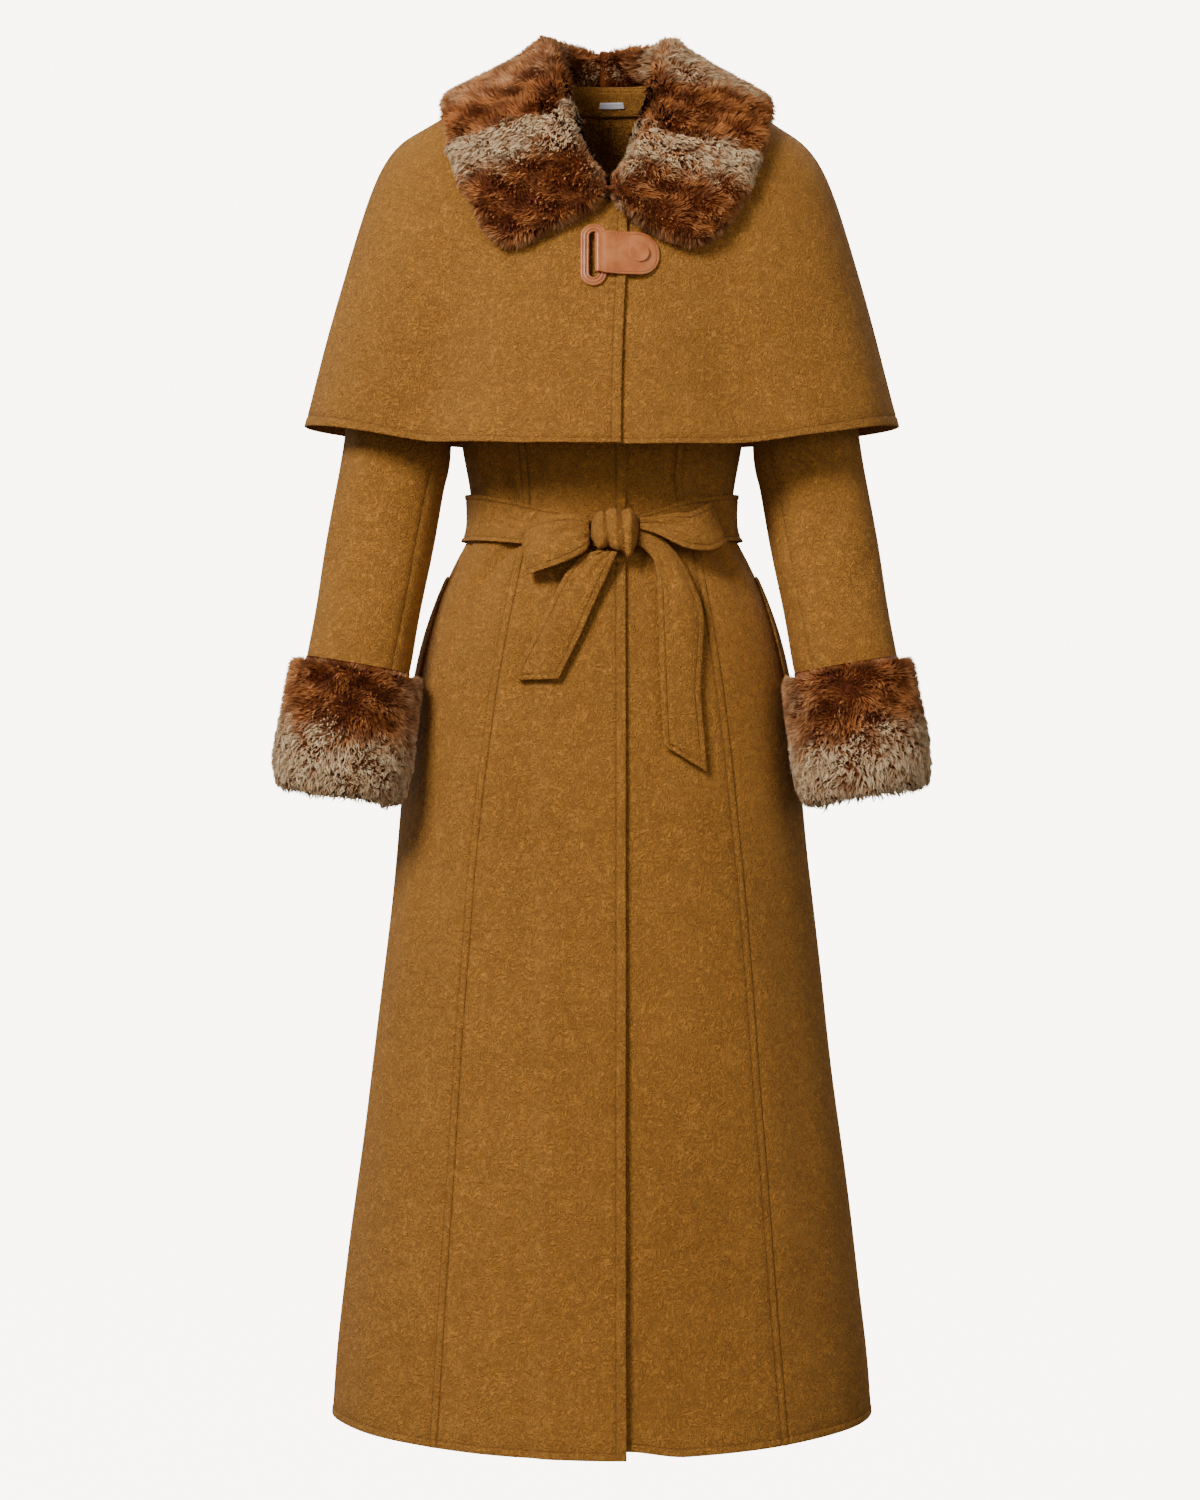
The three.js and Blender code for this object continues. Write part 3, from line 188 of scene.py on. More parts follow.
def unit(vectors: Array) -> Array:
    """The vectors at length 1."""
    return vectors / np.maximum(np.linalg.norm(vectors, axis=-1, keepdims=True), 1e-9)


def lengths(points: Array) -> Array:
    """The distance of each point along its chain, from 0 at the first."""
    return np.concatenate([[0], np.cumsum(np.linalg.norm(np.diff(points, axis=0), axis=-1))])


def flat_on(vectors: Array, normal: Array) -> Array:
    """The vectors without their part along the normal."""
    return vectors - normal * (vectors * normal).sum(1, keepdims=True)


def curve(t: Array | float, a: Array, b: Array, leave: Array, arrive: Array) -> Array:
    """The point at t of a smooth curve that leaves a and arrives at b in the ways given."""
    t2, t3 = t * t, t**3
    return (2 * t3 - 3 * t2 + 1) * a + (t3 - 2 * t2 + t) * leave + (3 * t2 - 2 * t3) * b + (t3 - t2) * arrive


def finished(bm: bmesh.types.BMesh, name: str) -> Mesh:
    """The bmesh as a mesh, after which it is freed."""
    mesh = bpy.data.meshes.new(name)
    bm.to_mesh(mesh)
    bm.free()
    return mesh


def in_scene(name: str, data: bpy.types.ID) -> Object:
    """A new object that shows the data, linked to the scene."""
    made = bpy.data.objects.new(name, data)
    bpy.context.scene.collection.objects.link(made)
    return made


def steps(length: float, cell: float, near: Sequence[float], far: Sequence[float]) -> Array:
    """Places along a length, fixed near both ends and even between them.

    Args:
        length: The whole length.
        cell: The widest gap in the middle.
        near: Fixed distances from the start, from 0 up.
        far: Fixed distances from the end, from 0 up.

    Returns:
        Rows of (share of the length, offset), so that a place is share * length + offset.
    """
    count = max(2, math.ceil((length - near[-1] - far[-1]) / cell))
    inner = np.linspace(0, 1, count + 1)[1:-1]
    rows = [(0.0, d) for d in near]
    rows += [(t, mix(near[-1], -far[-1], t)) for t in inner]
    rows += [(1.0, -d) for d in reversed(far)]
    return np.array(rows)


def table_row(table: Array, at: Array) -> Array:
    """The table's columns at fractional rows, on a smooth curve through its rows.

    Args:
        table: Rows of numbers.
        at: Which rows, as numbers that may lie between two of them.

    Returns:
        The columns, on a last axis of their own.
    """
    last = len(table) - 1
    at = np.asarray(at, float)
    i = np.clip(np.floor(at).astype(int), 0, last - 1)
    t = (at - i)[..., None]
    before, a, b, after = table[np.maximum(i - 1, 0)], table[i], table[i + 1], table[np.minimum(i + 2, last)]
    leave = np.where((i > 0)[..., None], (b - before) / 2, b - a)
    arrive = np.where((i + 2 <= last)[..., None], (after - a) / 2, b - a)
    return curve(t, a, b, leave, arrive)


@dataclass(frozen=True)
class Fold:
    """A straight soft trough in cloth, or a ridge where its depth is negative.

    Args:
        start: Angle and height where it is deepest.
        end: Angle and height where it has died away.
        width: Half width in millimetres.
        depth: Depth in millimetres.
    """

    start: tuple[float, float]
    end: tuple[float, float]
    width: float
    depth: float

    def inward(self, angle: Array, height: Array, radius: Array | float) -> Array:
        """How far the cloth lies in from its plain form.

        Args:
            angle: The angle round the cloth.
            height: The height.
            radius: What turns an angle into a distance there.

        Returns:
            Millimetres inwards.
        """
        t = (height - self.start[1]) / (self.end[1] - self.start[1])
        centre = mix(self.start[0], self.end[0], np.clip(t, 0, 1))
        across = (angle - centre) * RAD * radius
        return self.depth * bell(across, self.width) * smooth(-0.25, 0.1, t) * (1 - smooth(0.45, 1, t))


@dataclass(frozen=True)
class Cloth:
    """A garment's surface as rings round it, with its folds.

    Args:
        rings: The table of its rings.
        folds: Soft troughs and ridges.
        swell: Height of the slow, uneven waves of the cloth.
    """

    rings: Array
    folds: tuple[Fold, ...]
    swell: float

    @property
    def last(self) -> int:
        """The hem's ring."""
        return len(self.rings) - 1

    def form(self, angle: Array, w: Array) -> Array:
        """A point of the plain form.

        Args:
            angle: 0 in front, 90 at the wearer's left and 180 behind.
            w: The ring, or a place between two rings.

        Returns:
            The point, in millimetres.
        """
        half, front, back, z_side, z_front, z_back, vee, shift = np.moveaxis(table_row(self.rings, w), -1, 0)
        s, c = np.sin(angle * RAD), np.cos(angle * RAD)
        fore = c > 0
        x = shift + half * np.sign(s) * np.abs(s) ** np.where(fore, vee, 1.0)
        y = -np.where(fore, front, back) * c
        z = z_side + np.where(fore, z_front - z_side, z_back - z_side) * c * c
        return np.stack(np.broadcast_arrays(x, y, z), -1)

    def normal(self, angle: Array, w: Array, surface: Callable[[Array, Array], Array]) -> Array:
        """The outward normal of one of this cloth's surfaces."""
        along = surface(angle + 0.5, w) - surface(angle - 0.5, w)
        down = surface(angle, np.minimum(self.last, w + 0.02)) - surface(angle, np.maximum(0, w - 0.02))
        return -unit(np.cross(along, down))

    def inward(self, angle: Array, w: Array, point: Array) -> Array:
        """How far the folds and waves draw the cloth in."""
        turned = (angle + 180) % 360 - 180
        radius = table_row(self.rings, w)[..., 0]
        depth = sum(fold.inward(turned, point[..., 2], radius) for fold in self.folds)
        height = point[..., 2]
        waves = np.sin(turned * 0.105 + height * 0.011) * np.sin(height * 0.019 + turned * 0.031)
        waves = waves + 0.6 * np.sin(turned * 0.21 - height * 0.007 + 1.3)
        return depth + self.swell * waves * self.free(point)

    def free(self, point: Array) -> Array:
        """Where the cloth may wave: 1 where it hangs free, 0 where something lies on it."""
        return np.ones(point.shape[:-1])

    def at(self, angle: Array, w: Array) -> Array:
        """A point of the cloth's mid-surface."""
        angle, w = np.broadcast_arrays(np.asarray(angle, float), np.asarray(w, float))
        point = self.form(angle, w)
        return point - self.normal(angle, w, self.form) * self.inward(angle, w, point)[..., None]

    def out(self, angle: Array, w: Array, distance: Array | float) -> Array:
        """A point moved out from the mid-surface."""
        angle, w = np.broadcast_arrays(np.asarray(angle, float), np.asarray(w, float))
        return self.at(angle, w) + self.normal(angle, w, self.at) * np.asarray(distance)[..., None]

    def angle_at(self, x: Array | float, w: Array) -> Array:
        """The angle at which a ring passes a distance from the centre, in front."""
        row = table_row(self.rings, w)
        away = x - row[..., 7]
        share = np.minimum(1, np.abs(away) / row[..., 0])
        return np.sign(away) * np.arcsin(share ** (1 / row[..., 6])) / RAD


@dataclass(frozen=True)
class BodyCloth(Cloth):
    """The body's cloth, which lies flat under the belt."""

    def free(self, point: Array) -> Array:
        """Waves die away round the belt, and are half as high above it as below."""
        z = point[..., 2]
        return smooth(-300, -240, z) * 0.5 + smooth(-520, -680, z)


@dataclass(frozen=True)
class CapeCloth(Cloth):
    """The cape's cloth, whose folds open from the shoulder to the hem.

    Args:
        open_folds: The angle, half width in degrees, depth and first ring of each.
    """

    open_folds: tuple[tuple[float, float, float, float], ...] = ()

    def inward(self, angle: Array, w: Array, point: Array) -> Array:
        """How far the folds and waves draw the cape in."""
        turned = (angle + 180) % 360 - 180
        depth = sum(
            deep * bell(turned - at, wide) * smooth(first, CAPE_HEM, w)
            for at, wide, deep, first in self.open_folds
        )
        return depth + super().inward(angle, w, point)

    def free(self, point: Array) -> Array:
        """Waves start below the collar and keep clear of the clasp."""
        clasp = bell(point[..., 0] - 12, 55) * bell(point[..., 2] + 180, 55)
        return smooth(-150, -260, point[..., 2]) * (1 - clasp)


BODY_FOLDS = (
    Fold((-40, -430), (-63, -515), 11, 7), Fold((52, -430), (61, -490), 11, 4),
    Fold((-43.5, -394), (-54, -330), 9, 5), Fold((46, -394), (49, -330), 9, 4.5),
    Fold((-128, -430), (-116, -515), 12, 6), Fold((132, -430), (120, -520), 12, 6),
    Fold((130, -395), (122, -330), 10, 5), Fold((-133, -395), (-124, -330), 10, 5),
    Fold((-22, -432), (-31, -476), 6, 1.6), Fold((71, -428), (79, -474), 7, 2.0),
    Fold((-72, -428), (-80, -480), 7, 2.2), Fold((28, -392), (31, -352), 6, 1.3),
    Fold((-24, -392), (-29, -350), 6, 1.4), Fold((-70, -388), (-76, -340), 7, 2.0),
    Fold((72, -388), (77, -338), 7, 1.8), Fold((160, -430), (153, -482), 8, 2.4),
    Fold((-166, -430), (-158, -488), 8, 2.6), Fold((168, -390), (161, -342), 8, 2.0),
    Fold((-158, -390), (-151, -338), 8, 2.2), Fold((-12, -640), (-9, -960), 26, 1.8),
    Fold((17, -700), (13, -1030), 24, 1.6), Fold((-52, -760), (-47, -1120), 26, 2.2),
    Fold((52, -740), (56, -1100), 26, 2.2), Fold((-148, -700), (-152, -1110), 30, 4.5),
    Fold((139, -720), (144, -1120), 30, 4.5), Fold((174, -690), (176, -1060), 26, 3.2),
    Fold((-101, -720), (-99, -1100), 26, 3.0), Fold((101, -740), (103, -1100), 26, 3.0),
)
CAPE_FOLDS = (
    (-35, 10, 15, 3), (28, 10, 13, 3), (-62, 12, -3, 5), (60, 12, -3, 5),
    (-128, 9, 9, 5), (-158, 8, 7, 4), (136, 9, 9, 5), (163, 8, 6, 4),
)
COAT = BodyCloth(BODY_RINGS, BODY_FOLDS, 0.9)
CAPE = CapeCloth(CAPE_RINGS, (), 0.9, CAPE_FOLDS)


class Value:
    """A number or colour that a node gives, with Python's arithmetic on numbers."""

    def __init__(self, graph: "Graph", socket: bpy.types.NodeSocket) -> None:
        """Keeps the socket and the graph that it belongs to."""
        self.graph = graph
        self.socket = socket

    def _math(self, operation: str, *values: "Value | float") -> "Value":
        """The result of one Math node."""
        return self.graph.node("ShaderNodeMath", {"operation": operation}, dict(enumerate(values)))

    def __add__(self, other: "Value | float") -> "Value":
        """self + other."""
        return self._math("ADD", self, other)

    def __sub__(self, other: "Value | float") -> "Value":
        """self - other."""
        return self._math("SUBTRACT", self, other)

    def __rsub__(self, other: float) -> "Value":
        """other - self."""
        return self._math("SUBTRACT", other, self)

    def __mul__(self, other: "Value | float") -> "Value":
        """self * other."""
        return self._math("MULTIPLY", self, other)

    def __abs__(self) -> "Value":
        """The size of self."""
        return self._math("ABSOLUTE", self)

    __radd__ = __add__
    __rmul__ = __mul__

    def between(self, low: float, high: float) -> "Value":
        """0 below low, 1 above high, and a straight line between them."""
        settings = {"clamp": True}
        inputs = {"Value": self, "From Min": low, "From Max": high, "To Min": 0.0, "To Max": 1.0}
        return self.graph.node("ShaderNodeMapRange", settings, inputs)


def paint(colour: Colour, gain: float = 1.0) -> tuple[float, float, float, float]:
    """A screen colour of 0 to 255 as the renderer's linear colour."""
    linear = (c / 255 / 12.92 if c <= 10.3 else ((c / 255 + 0.055) / 1.055) ** 2.4 for c in colour)
    return (*(gain * c for c in linear), 1.0)


class Graph:
    """The nodes of one material."""

    def __init__(self, name: str) -> None:
        """Starts a material with its output alone."""
        self.material = bpy.data.materials.new(name)
        self.material.use_nodes = True
        self.tree = self.material.node_tree
        self.tree.nodes.clear()

    def node(
        self,
        kind: str,
        settings: Mapping[str, object] | None = None,
        inputs: Mapping[str | int, object] | None = None,
        output: str | int = 0,
    ) -> Value:
        """Adds a node.

        Args:
            kind: The node's type.
            settings: Its own settings, which are set first.
            inputs: Values or links of its sockets.
            output: The socket that is given back.

        Returns:
            The output.
        """
        made = self.tree.nodes.new(kind)
        for name, value in (settings or {}).items():
            setattr(made, name, value)
        for name, value in (inputs or {}).items():
            if isinstance(value, Value):
                self.tree.links.new(value.socket, made.inputs[name])
            else:
                made.inputs[name].default_value = value
        return Value(self, made.outputs[output])

    def place(self) -> Value:
        """The point on the object, in metres."""
        return self.node("ShaderNodeTexCoord", output="Object")

    def attribute(self, name: str) -> Value:
        """A number that the mesh carries."""
        return self.node("ShaderNodeAttribute", {"attribute_name": name}, output="Fac")

    def noise(self, place: Value, scale: float, detail: float = 2.0, distortion: float = 0.0) -> Value:
        """Soft noise from 0 to 1."""
        inputs = {"Vector": place, "Scale": scale, "Detail": detail, "Roughness": 0.55}
        return self.node("ShaderNodeTexNoise", {}, inputs | {"Distortion": distortion}, "Fac")

    def blend(self, factor: Value | float, a: object, b: object) -> Value:
        """A colour between a and b."""
        settings = {"data_type": "RGBA", "blend_type": "MIX", "clamp_factor": True}
        return self.node("ShaderNodeMix", settings, {0: factor, 6: a, 7: b}, 2)

    def bump(self, height: Value, strength: float, distance: float) -> Value:
        """A normal from a height."""
        return self.node("ShaderNodeBump", {}, {"Strength": strength, "Distance": distance, "Height": height})

    def surface(self, **values: object) -> Material:
        """Makes the main shader and links it to the output.

        Args:
            values: Values or links of its sockets, named with underscores for blanks.

        Returns:
            The finished material.
        """
        inputs = {name.replace("_", " "): value for name, value in values.items()}
        shader = self.node("ShaderNodeBsdfPrincipled", {}, inputs)
        made = self.tree.nodes.new("ShaderNodeOutputMaterial")
        self.tree.links.new(shader.socket, made.inputs["Surface"])
        return self.material


@dataclass(frozen=True)
class WoolFinish:
    """Double-faced wool with a short, curled nap.

    Args:
        name: The material's name.
        light: Colour of the raised nap.
        deep: Colour between the curls.
        thread: Colour in a stitched line, and of the painted shade in the belt knot's troughs.
        sheen: Colour of the light that the nap catches.
    """

    name: str = "wool_nap"
    light: Colour = (204, 138, 58)
    deep: Colour = (130, 80, 26)
    thread: Colour = (94, 56, 18)
    sheen: Colour = (226, 176, 108)

    def material(self) -> Material:
        """The material, with worm-like curls 3 to 5 mm long in its nap."""
        g = Graph(self.name)
        place = g.place()
        curls = (1 - abs(g.noise(place, 150, 2.0, 2.6) * 2 - 1) * 3.6).between(0.0, 1.0)
        fibre = g.noise(place, 600, 3.0, 1.5)
        felt = g.noise(place, 60, 3.0, 1.5)
        drift = g.noise(place, 7, 2.0)
        tone = (curls * 0.5 + fibre * 0.36 + felt * 0.34 + drift * 0.3).between(0.3, 1.16)
        groove = g.attribute("groove")
        colour = g.blend(tone, paint(self.deep), paint(self.light))
        # The groove mark darkens the wool toward the thread colour in stitched lines and seams, and as
        # painted shade in the knot's troughs.
        colour = g.blend(groove * 0.55, colour, paint(self.thread))
        height = curls + fibre * 0.4 + felt * 0.7
        return g.surface(
            Base_Color=colour,
            Roughness=0.93 - fibre * 0.1,
            Specular_IOR_Level=0.18,
            Sheen_Weight=0.32,
            Sheen_Roughness=0.5,
            Sheen_Tint=paint(self.sheen),
            Normal=g.bump(height, 0.9, 0.0016),
        )


@dataclass(frozen=True)
class FurFinish:
    """Plush fur in two tones, darker at its roots, partly its own colour and partly painted shade.

    Args:
        name: The material's name.
        brown: Colour of the dark pelt's tips.
        root: Colour of the dark pelt's roots, and its painted shade.
        cream: Colour of the light pelt's tips.
        shade: Colour of the light pelt's roots, and its painted shade.
    """

    name: str = "fur"
    brown: Colour = (226, 138, 70)
    root: Colour = (86, 36, 10)
    cream: Colour = (255, 223, 174)
    shade: Colour = (126, 68, 32)

    def material(self) -> Material:
        """The material, from the numbers that each hair carries."""
        g = Graph(self.name)
        pelt, depth = g.attribute("pelt"), g.attribute("depth")
        lie = g.node("ShaderNodeAttribute", {"attribute_name": "lie"}, output="Vector")
        face = g.node("ShaderNodeNewGeometry", output="Normal")
        sum_of = {0: lie, 1: (1.6, 1.6, 1.6), 2: face}
        both = g.node("ShaderNodeVectorMath", {"operation": "MULTIPLY_ADD"}, sum_of)
        low = g.blend(pelt, paint(self.root), paint(self.shade))
        high = g.blend(pelt, paint(self.brown), paint(self.cream))
        return g.surface(
            # The depth mark, each point's height on its hair times its painted light, blends root to tip
            # colour; the dark end is partly real roots and partly painted shade.
            Base_Color=g.blend(depth.between(0.26, 1.0), low, high),
            Roughness=0.6,
            Specular_IOR_Level=0.08,
            Normal=g.node("ShaderNodeVectorMath", {"operation": "NORMALIZE"}, {0: both}),
        )


@dataclass(frozen=True)
class LeatherFinish:
    """Smooth vegetable-tanned leather with a fine grain.

    Args:
        name: The material's name.
        face: The colour of its face.
        worn_and_shade: The colour that handling gives it; much darkened, it is also the painted shade in the
            grooves.
        thread: The colour of its sewing.
    """

    name: str = "leather"
    face: Colour = (204, 128, 76)
    worn_and_shade: Colour = (170, 92, 46)
    thread: Colour = (128, 74, 50)

    def material(self) -> Material:
        """The material, with pores, a slow change of tone, lines pressed in, and painted shade in the
        grooves.
        """
        g = Graph(self.name)
        place = g.place()
        pores = {"Vector": place, "Scale": 1300.0}
        cells = g.node("ShaderNodeTexVoronoi", {"feature": "F1"}, pores, "Distance")
        tone = g.noise(place, 60, 4.0, 0.4)
        groove = g.attribute("groove")
        colour = g.blend(tone.between(0.3, 0.75), paint(self.worn_and_shade), paint(self.face))
        # Painted shade: where the groove mark is high the leather is darkened almost to black, in the ring's
        # pressed lines and where the strap goes into the slot; along the strap's stitched line it is the
        # sewing's darker line.
        colour = g.blend(groove * 0.8, colour, paint(self.worn_and_shade, 0.22))
        return g.surface(
            Base_Color=colour,
            Roughness=tone * 0.14 + 0.24,
            Specular_IOR_Level=0.45,
            Coat_Roughness=0.3,
            Normal=g.bump(cells * -0.5 + tone * 0.5, 0.25, 0.00025),
        )


@dataclass(frozen=True)
class LabelFinish:
    """A bare woven label.

    Args:
        name: The material's name.
        face: Its colour.
        rib: The colour between its ribs.
    """

    name: str = "woven_label"
    face: Colour = (226, 222, 228)
    rib: Colour = (198, 192, 200)

    def material(self) -> Material:
        """The material, with the fine ribs of its weave."""
        g = Graph(self.name)
        ribs = g.node("ShaderNodeTexWave", {"bands_direction": "X"}, {"Vector": g.place(), "Scale": 500.0})
        return g.surface(
            Base_Color=g.blend(ribs * 0.3, paint(self.face), paint(self.rib)),
            Roughness=0.6,
            Normal=g.bump(ribs, 0.2, 0.0001),
        )


@dataclass(frozen=True)
class BackdropFinish:
    """Pale seamless paper.

    Args:
        name: The material's name.
        face: Its colour.
        glow: The share of its light that it gives by itself, so that it stays even.
    """

    name: str = "paper"
    face: Colour = (245, 238, 226)
    glow: float = 9.0

    def material(self) -> Material:
        """The material."""
        return Graph(self.name).surface(
            Base_Color=paint(self.face, 0.2),
            Roughness=1.0,
            Specular_IOR_Level=0.0,
            Emission_Color=paint(self.face),
            Emission_Strength=self.glow,
        )


@dataclass
class Sheet:
    """A grid of points that a bmesh grid is moved to.

    Args:
        points: Rows and columns of points, in millimetres.
        outward: The outward direction at each point.
        across: Distance along each row, in millimetres.
        down: Distance along each column, in millimetres.
        marks: Numbers that the mesh carries, by name.
    """

    points: Array
    outward: Array
    across: Array
    down: Array
    marks: dict[str, Array] = field(default_factory=dict)

    def __post_init__(self) -> None:
        """Spreads the distances and the marks over the whole grid."""
        size = self.points.shape[:2]
        self.across, self.down = np.broadcast_to(self.across, size), np.broadcast_to(self.down, size)
        self.marks = {name: np.broadcast_to(values, size) for name, values in self.marks.items()}

    def cut(self) -> tuple[float, float, float]:
        """The width, length and area of the flat cloth, in metres."""
        p = self.points * MM
        width = np.linalg.norm(np.diff(p, axis=1), axis=-1).sum(1).max()
        length = np.linalg.norm(np.diff(p, axis=0), axis=-1).sum(0).max()
        one = np.cross(p[1:, :-1] - p[:-1, :-1], p[:-1, 1:] - p[:-1, :-1])
        two = np.cross(p[:-1, 1:] - p[1:, 1:], p[1:, :-1] - p[1:, 1:])
        area = (np.linalg.norm(one, axis=-1) + np.linalg.norm(two, axis=-1)).sum() / 2
        return float(width), float(length), float(area)

    def mesh(self, name: str, close: bool = False) -> Mesh:
        """The grid as a mesh.

        Args:
            name: The mesh's name.
            close: Whether the first and last columns meet, and the open ends are filled.

        Returns:
            The mesh, with its faces outwards.
        """
        rows, cols = self.points.shape[:2]
        bm = bmesh.new()
        layers = {key: bm.verts.layers.float.new(key) for key in self.marks}
        uv = bm.loops.layers.uv.new("cut")
        made = bmesh.ops.create_grid(bm, x_segments=cols - 1, y_segments=rows - 1, size=0.5)["verts"]
        bm.verts.index_update()
        cells = [(round((v.co.y + 0.5) * (rows - 1)), round((v.co.x + 0.5) * (cols - 1))) for v in made]
        for face in bm.faces:
            face.smooth = True
            for loop in face.loops:
                r, c = cells[loop.vert.index]
                loop[uv].uv = (self.across[r, c] * MM, self.down[r, c] * MM)
        for vert, (r, c) in zip(made, cells):
            vert.co = Vector(self.points[r, c] * MM)
            for key, layer in layers.items():
                vert[layer] = float(self.marks[key][r, c])
        if close:
            bmesh.ops.remove_doubles(bm, verts=bm.verts, dist=1e-6)
            open_edges = [e for e in bm.edges if e.is_boundary]
            bmesh.ops.holes_fill(bm, edges=open_edges, sides=0)
            bmesh.ops.triangulate(bm, faces=[f for f in bm.faces if len(f.verts) > 4])
            bmesh.ops.recalc_face_normals(bm, faces=bm.faces)
        else:
            turn = np.cross(np.diff(self.points, axis=1)[:-1], np.diff(self.points, axis=0)[:, :-1])
            if (turn * self.outward[:-1, :-1]).sum() < 0:
                bmesh.ops.reverse_faces(bm, faces=bm.faces)
        return finished(bm, name)


@dataclass
class Piece:
    """One finished piece of the coat.

    Args:
        name: The piece's name.
        mesh: Its mesh.
        finish: Its material.
        slot: The material's slot, which ends the object's name.
        replaces: The solids that it stands for.
        wall: Thickness of the cloth, in millimetres, or 0.
        centred: Whether the wall grows to both sides.
    """

    name: str
    mesh: Mesh
    finish: Material
    slot: str
    replaces: tuple[str, ...] = ()
    wall: float = 0.0
    centred: bool = False

    def place(self) -> Object:
        """Puts the piece in the scene, on the coat's body."""
        made = in_scene(f"{self.name}_{self.slot}", self.mesh)
        self.mesh.materials.clear()
        self.mesh.materials.append(self.finish)
        if self.wall:
            solid = made.modifiers.new("wall", "SOLIDIFY")
            solid.thickness = self.wall * MM
            solid.offset = 0.0 if self.centred else -1.0
        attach(made, BODY)
        if self.replaces:
            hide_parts(*self.replaces)
        log.info("%s: %d faces", made.name, len(self.mesh.polygons))
        return made


def declare(
    sheet: Sheet
) -> None:
    """Works out the width, length and area of a piece's cloth, and keeps none of them.

    Args:
        sheet: Its grid.
    """
    width, length, area = sheet.cut()


@dataclass(frozen=True)
class Trim:
    """How one edge of a panel is finished.

    Args:
        line: Distance of the stitched line from the edge, or 0 for a bare edge.
        groove: Depth of the stitched line.
        rise: How far the cloth between the line and the edge is raised.
        sewn: Whether the edge is sewn to another panel, and so isn't rounded.
    """

    line: float = 0.0
    groove: float = 0.0
    rise: float = 0.0
    sewn: bool = False

    def marks(self) -> tuple[float, ...]:
        """Where grid lines lie beside the edge."""
        if not self.line:
            return (0.0, 0.7, 1.8)
        return (0.0, 0.7, 1.8, self.line - 1.3, self.line - 0.6, self.line, self.line + 0.6, self.line + 1.3)

    def relief(self, distance: Array) -> Array:
        """How far the outer face stands out at a distance from the edge."""
        edge = -0.45 * np.clip(1 - distance / 1.4, 0, 1) ** 2
        if self.sewn:
            edge = -0.5 * (1 - smooth(0.7, 1.8, distance))
        if not self.line:
            return edge
        raised = self.rise * (1 - smooth(self.line - 0.55, self.line + 0.75, distance))
        puff = 0.25 * self.groove * bell(distance - self.line - 2.6, 1.8)
        return edge + raised + puff - self.groove * bell(distance - self.line, 0.75)

    def stitched(self, distance: Array) -> Array:
        """1 in the stitched line or the seam."""
        seam = 0.8 * bell(distance, 0.8) if self.sewn else np.zeros_like(distance)
        return seam + bell(distance - self.line, 0.75) if self.line else seam


BARE = Trim(sewn=True)
HEM = Trim(7.0, 0.55, 0.5)
EDGE = Trim(8.6, 0.75, 0.6)
WELT = Trim(WELT_WIDTH, 0.6, WELT_HEIGHT, True)


@dataclass(frozen=True)
class Panel:
    """A panel of cloth between two edges, given as angles at each ring.

    Args:
        cloth: The surface that it lies on.
        first: The ring that it starts at.
        start: The angle of its first edge.
        end: The angle of its second edge.
        trims: How its first, second and lower edges are finished.
        cell: The size of a grid cell across and down.
        lift: How far it stands off the surface, from angle, ring and point.
        last: The ring that it ends at, or None for the hem.
    """

    cloth: Cloth
    first: float
    start: Callable[[Array], Array]
    end: Callable[[Array], Array]
    trims: tuple[Trim, Trim, Trim] = (BARE, BARE, HEM)
    cell: tuple[float, float] = (9.0, 8.0)
    lift: Callable[[Array], Array] | None = None
    last: float | None = None

    def sheet(self) -> Sheet:
        """The panel's outer face, with fine rows and columns at its edges and stitched lines."""
        last = self.cloth.last if self.last is None else self.last
        fine = np.linspace(self.first, last, 500)
        middle = (self.start(fine) + self.end(fine)) / 2
        track = self.cloth.form(middle, fine)
        length = lengths(track)
        plan = steps(length[-1], self.cell[1], (0.0, 0.7, 1.8), self.trims[2].marks())
        down = plan[:, 0] * length[-1] + plan[:, 1]
        w = np.interp(down, length, fine)
        a0, a1 = self.start(w), self.end(w)
        share = np.linspace(0, 1, 33)
        angles = a0[:, None] + (a1 - a0)[:, None] * share
        chain = self.cloth.form(angles, w[:, None] * np.ones_like(angles))
        run = np.linalg.norm(np.diff(chain, axis=1), axis=-1)
        run = np.concatenate([np.zeros((len(w), 1)), np.cumsum(run, axis=1)], axis=1)
        span = run[:, -1:]
        near, far = self.trims[0].marks(), self.trims[1].marks()
        plan = steps(float(span.max()), self.cell[0], near, far)
        shrink = np.minimum(1, span / (near[-1] + far[-1] + 8))
        across = plan[:, 0] * (span + SEAM_OVERLAP) + plan[:, 1] * shrink - SEAM_OVERLAP / 2
        angle = np.stack([np.interp(across[i], run[i], angles[i]) for i in range(len(w))])
        beyond = np.minimum(across, 0) + np.maximum(across - span, 0)
        angle = angle + beyond * (a1 - a0)[:, None] / span
        rings = w[:, None] * np.ones_like(angle)
        point = self.cloth.at(angle, rings)
        normal = self.cloth.normal(angle, rings, self.cloth.at)
        from_end = (span - across) / shrink + SEAM_OVERLAP / 2
        from_start = across / shrink + SEAM_OVERLAP / 2
        from_hem = (length[-1] - down)[:, None]
        distances = (from_start, from_end, from_hem)
        out = CLOTH / 2 + sum(t.relief(d) for t, d in zip(self.trims, distances))
        out = out + (self.lift(point) if self.lift else 0)
        groove = np.clip(sum(t.stitched(d) for t, d in zip(self.trims, distances)), 0, 1)
        return Sheet(point + normal * out[..., None], normal, across, down[:, None], {"groove": groove})


def armhole_drop(w: Array, reach: float) -> Array:
    """How far the armhole cuts in from the side line at a ring, in degrees."""
    turn = np.clip((w - SHOULDER_RING) / (ARMPIT_RING - SHOULDER_RING), 0, 1)
    return reach * 2 * np.sqrt(turn * (1 - turn))


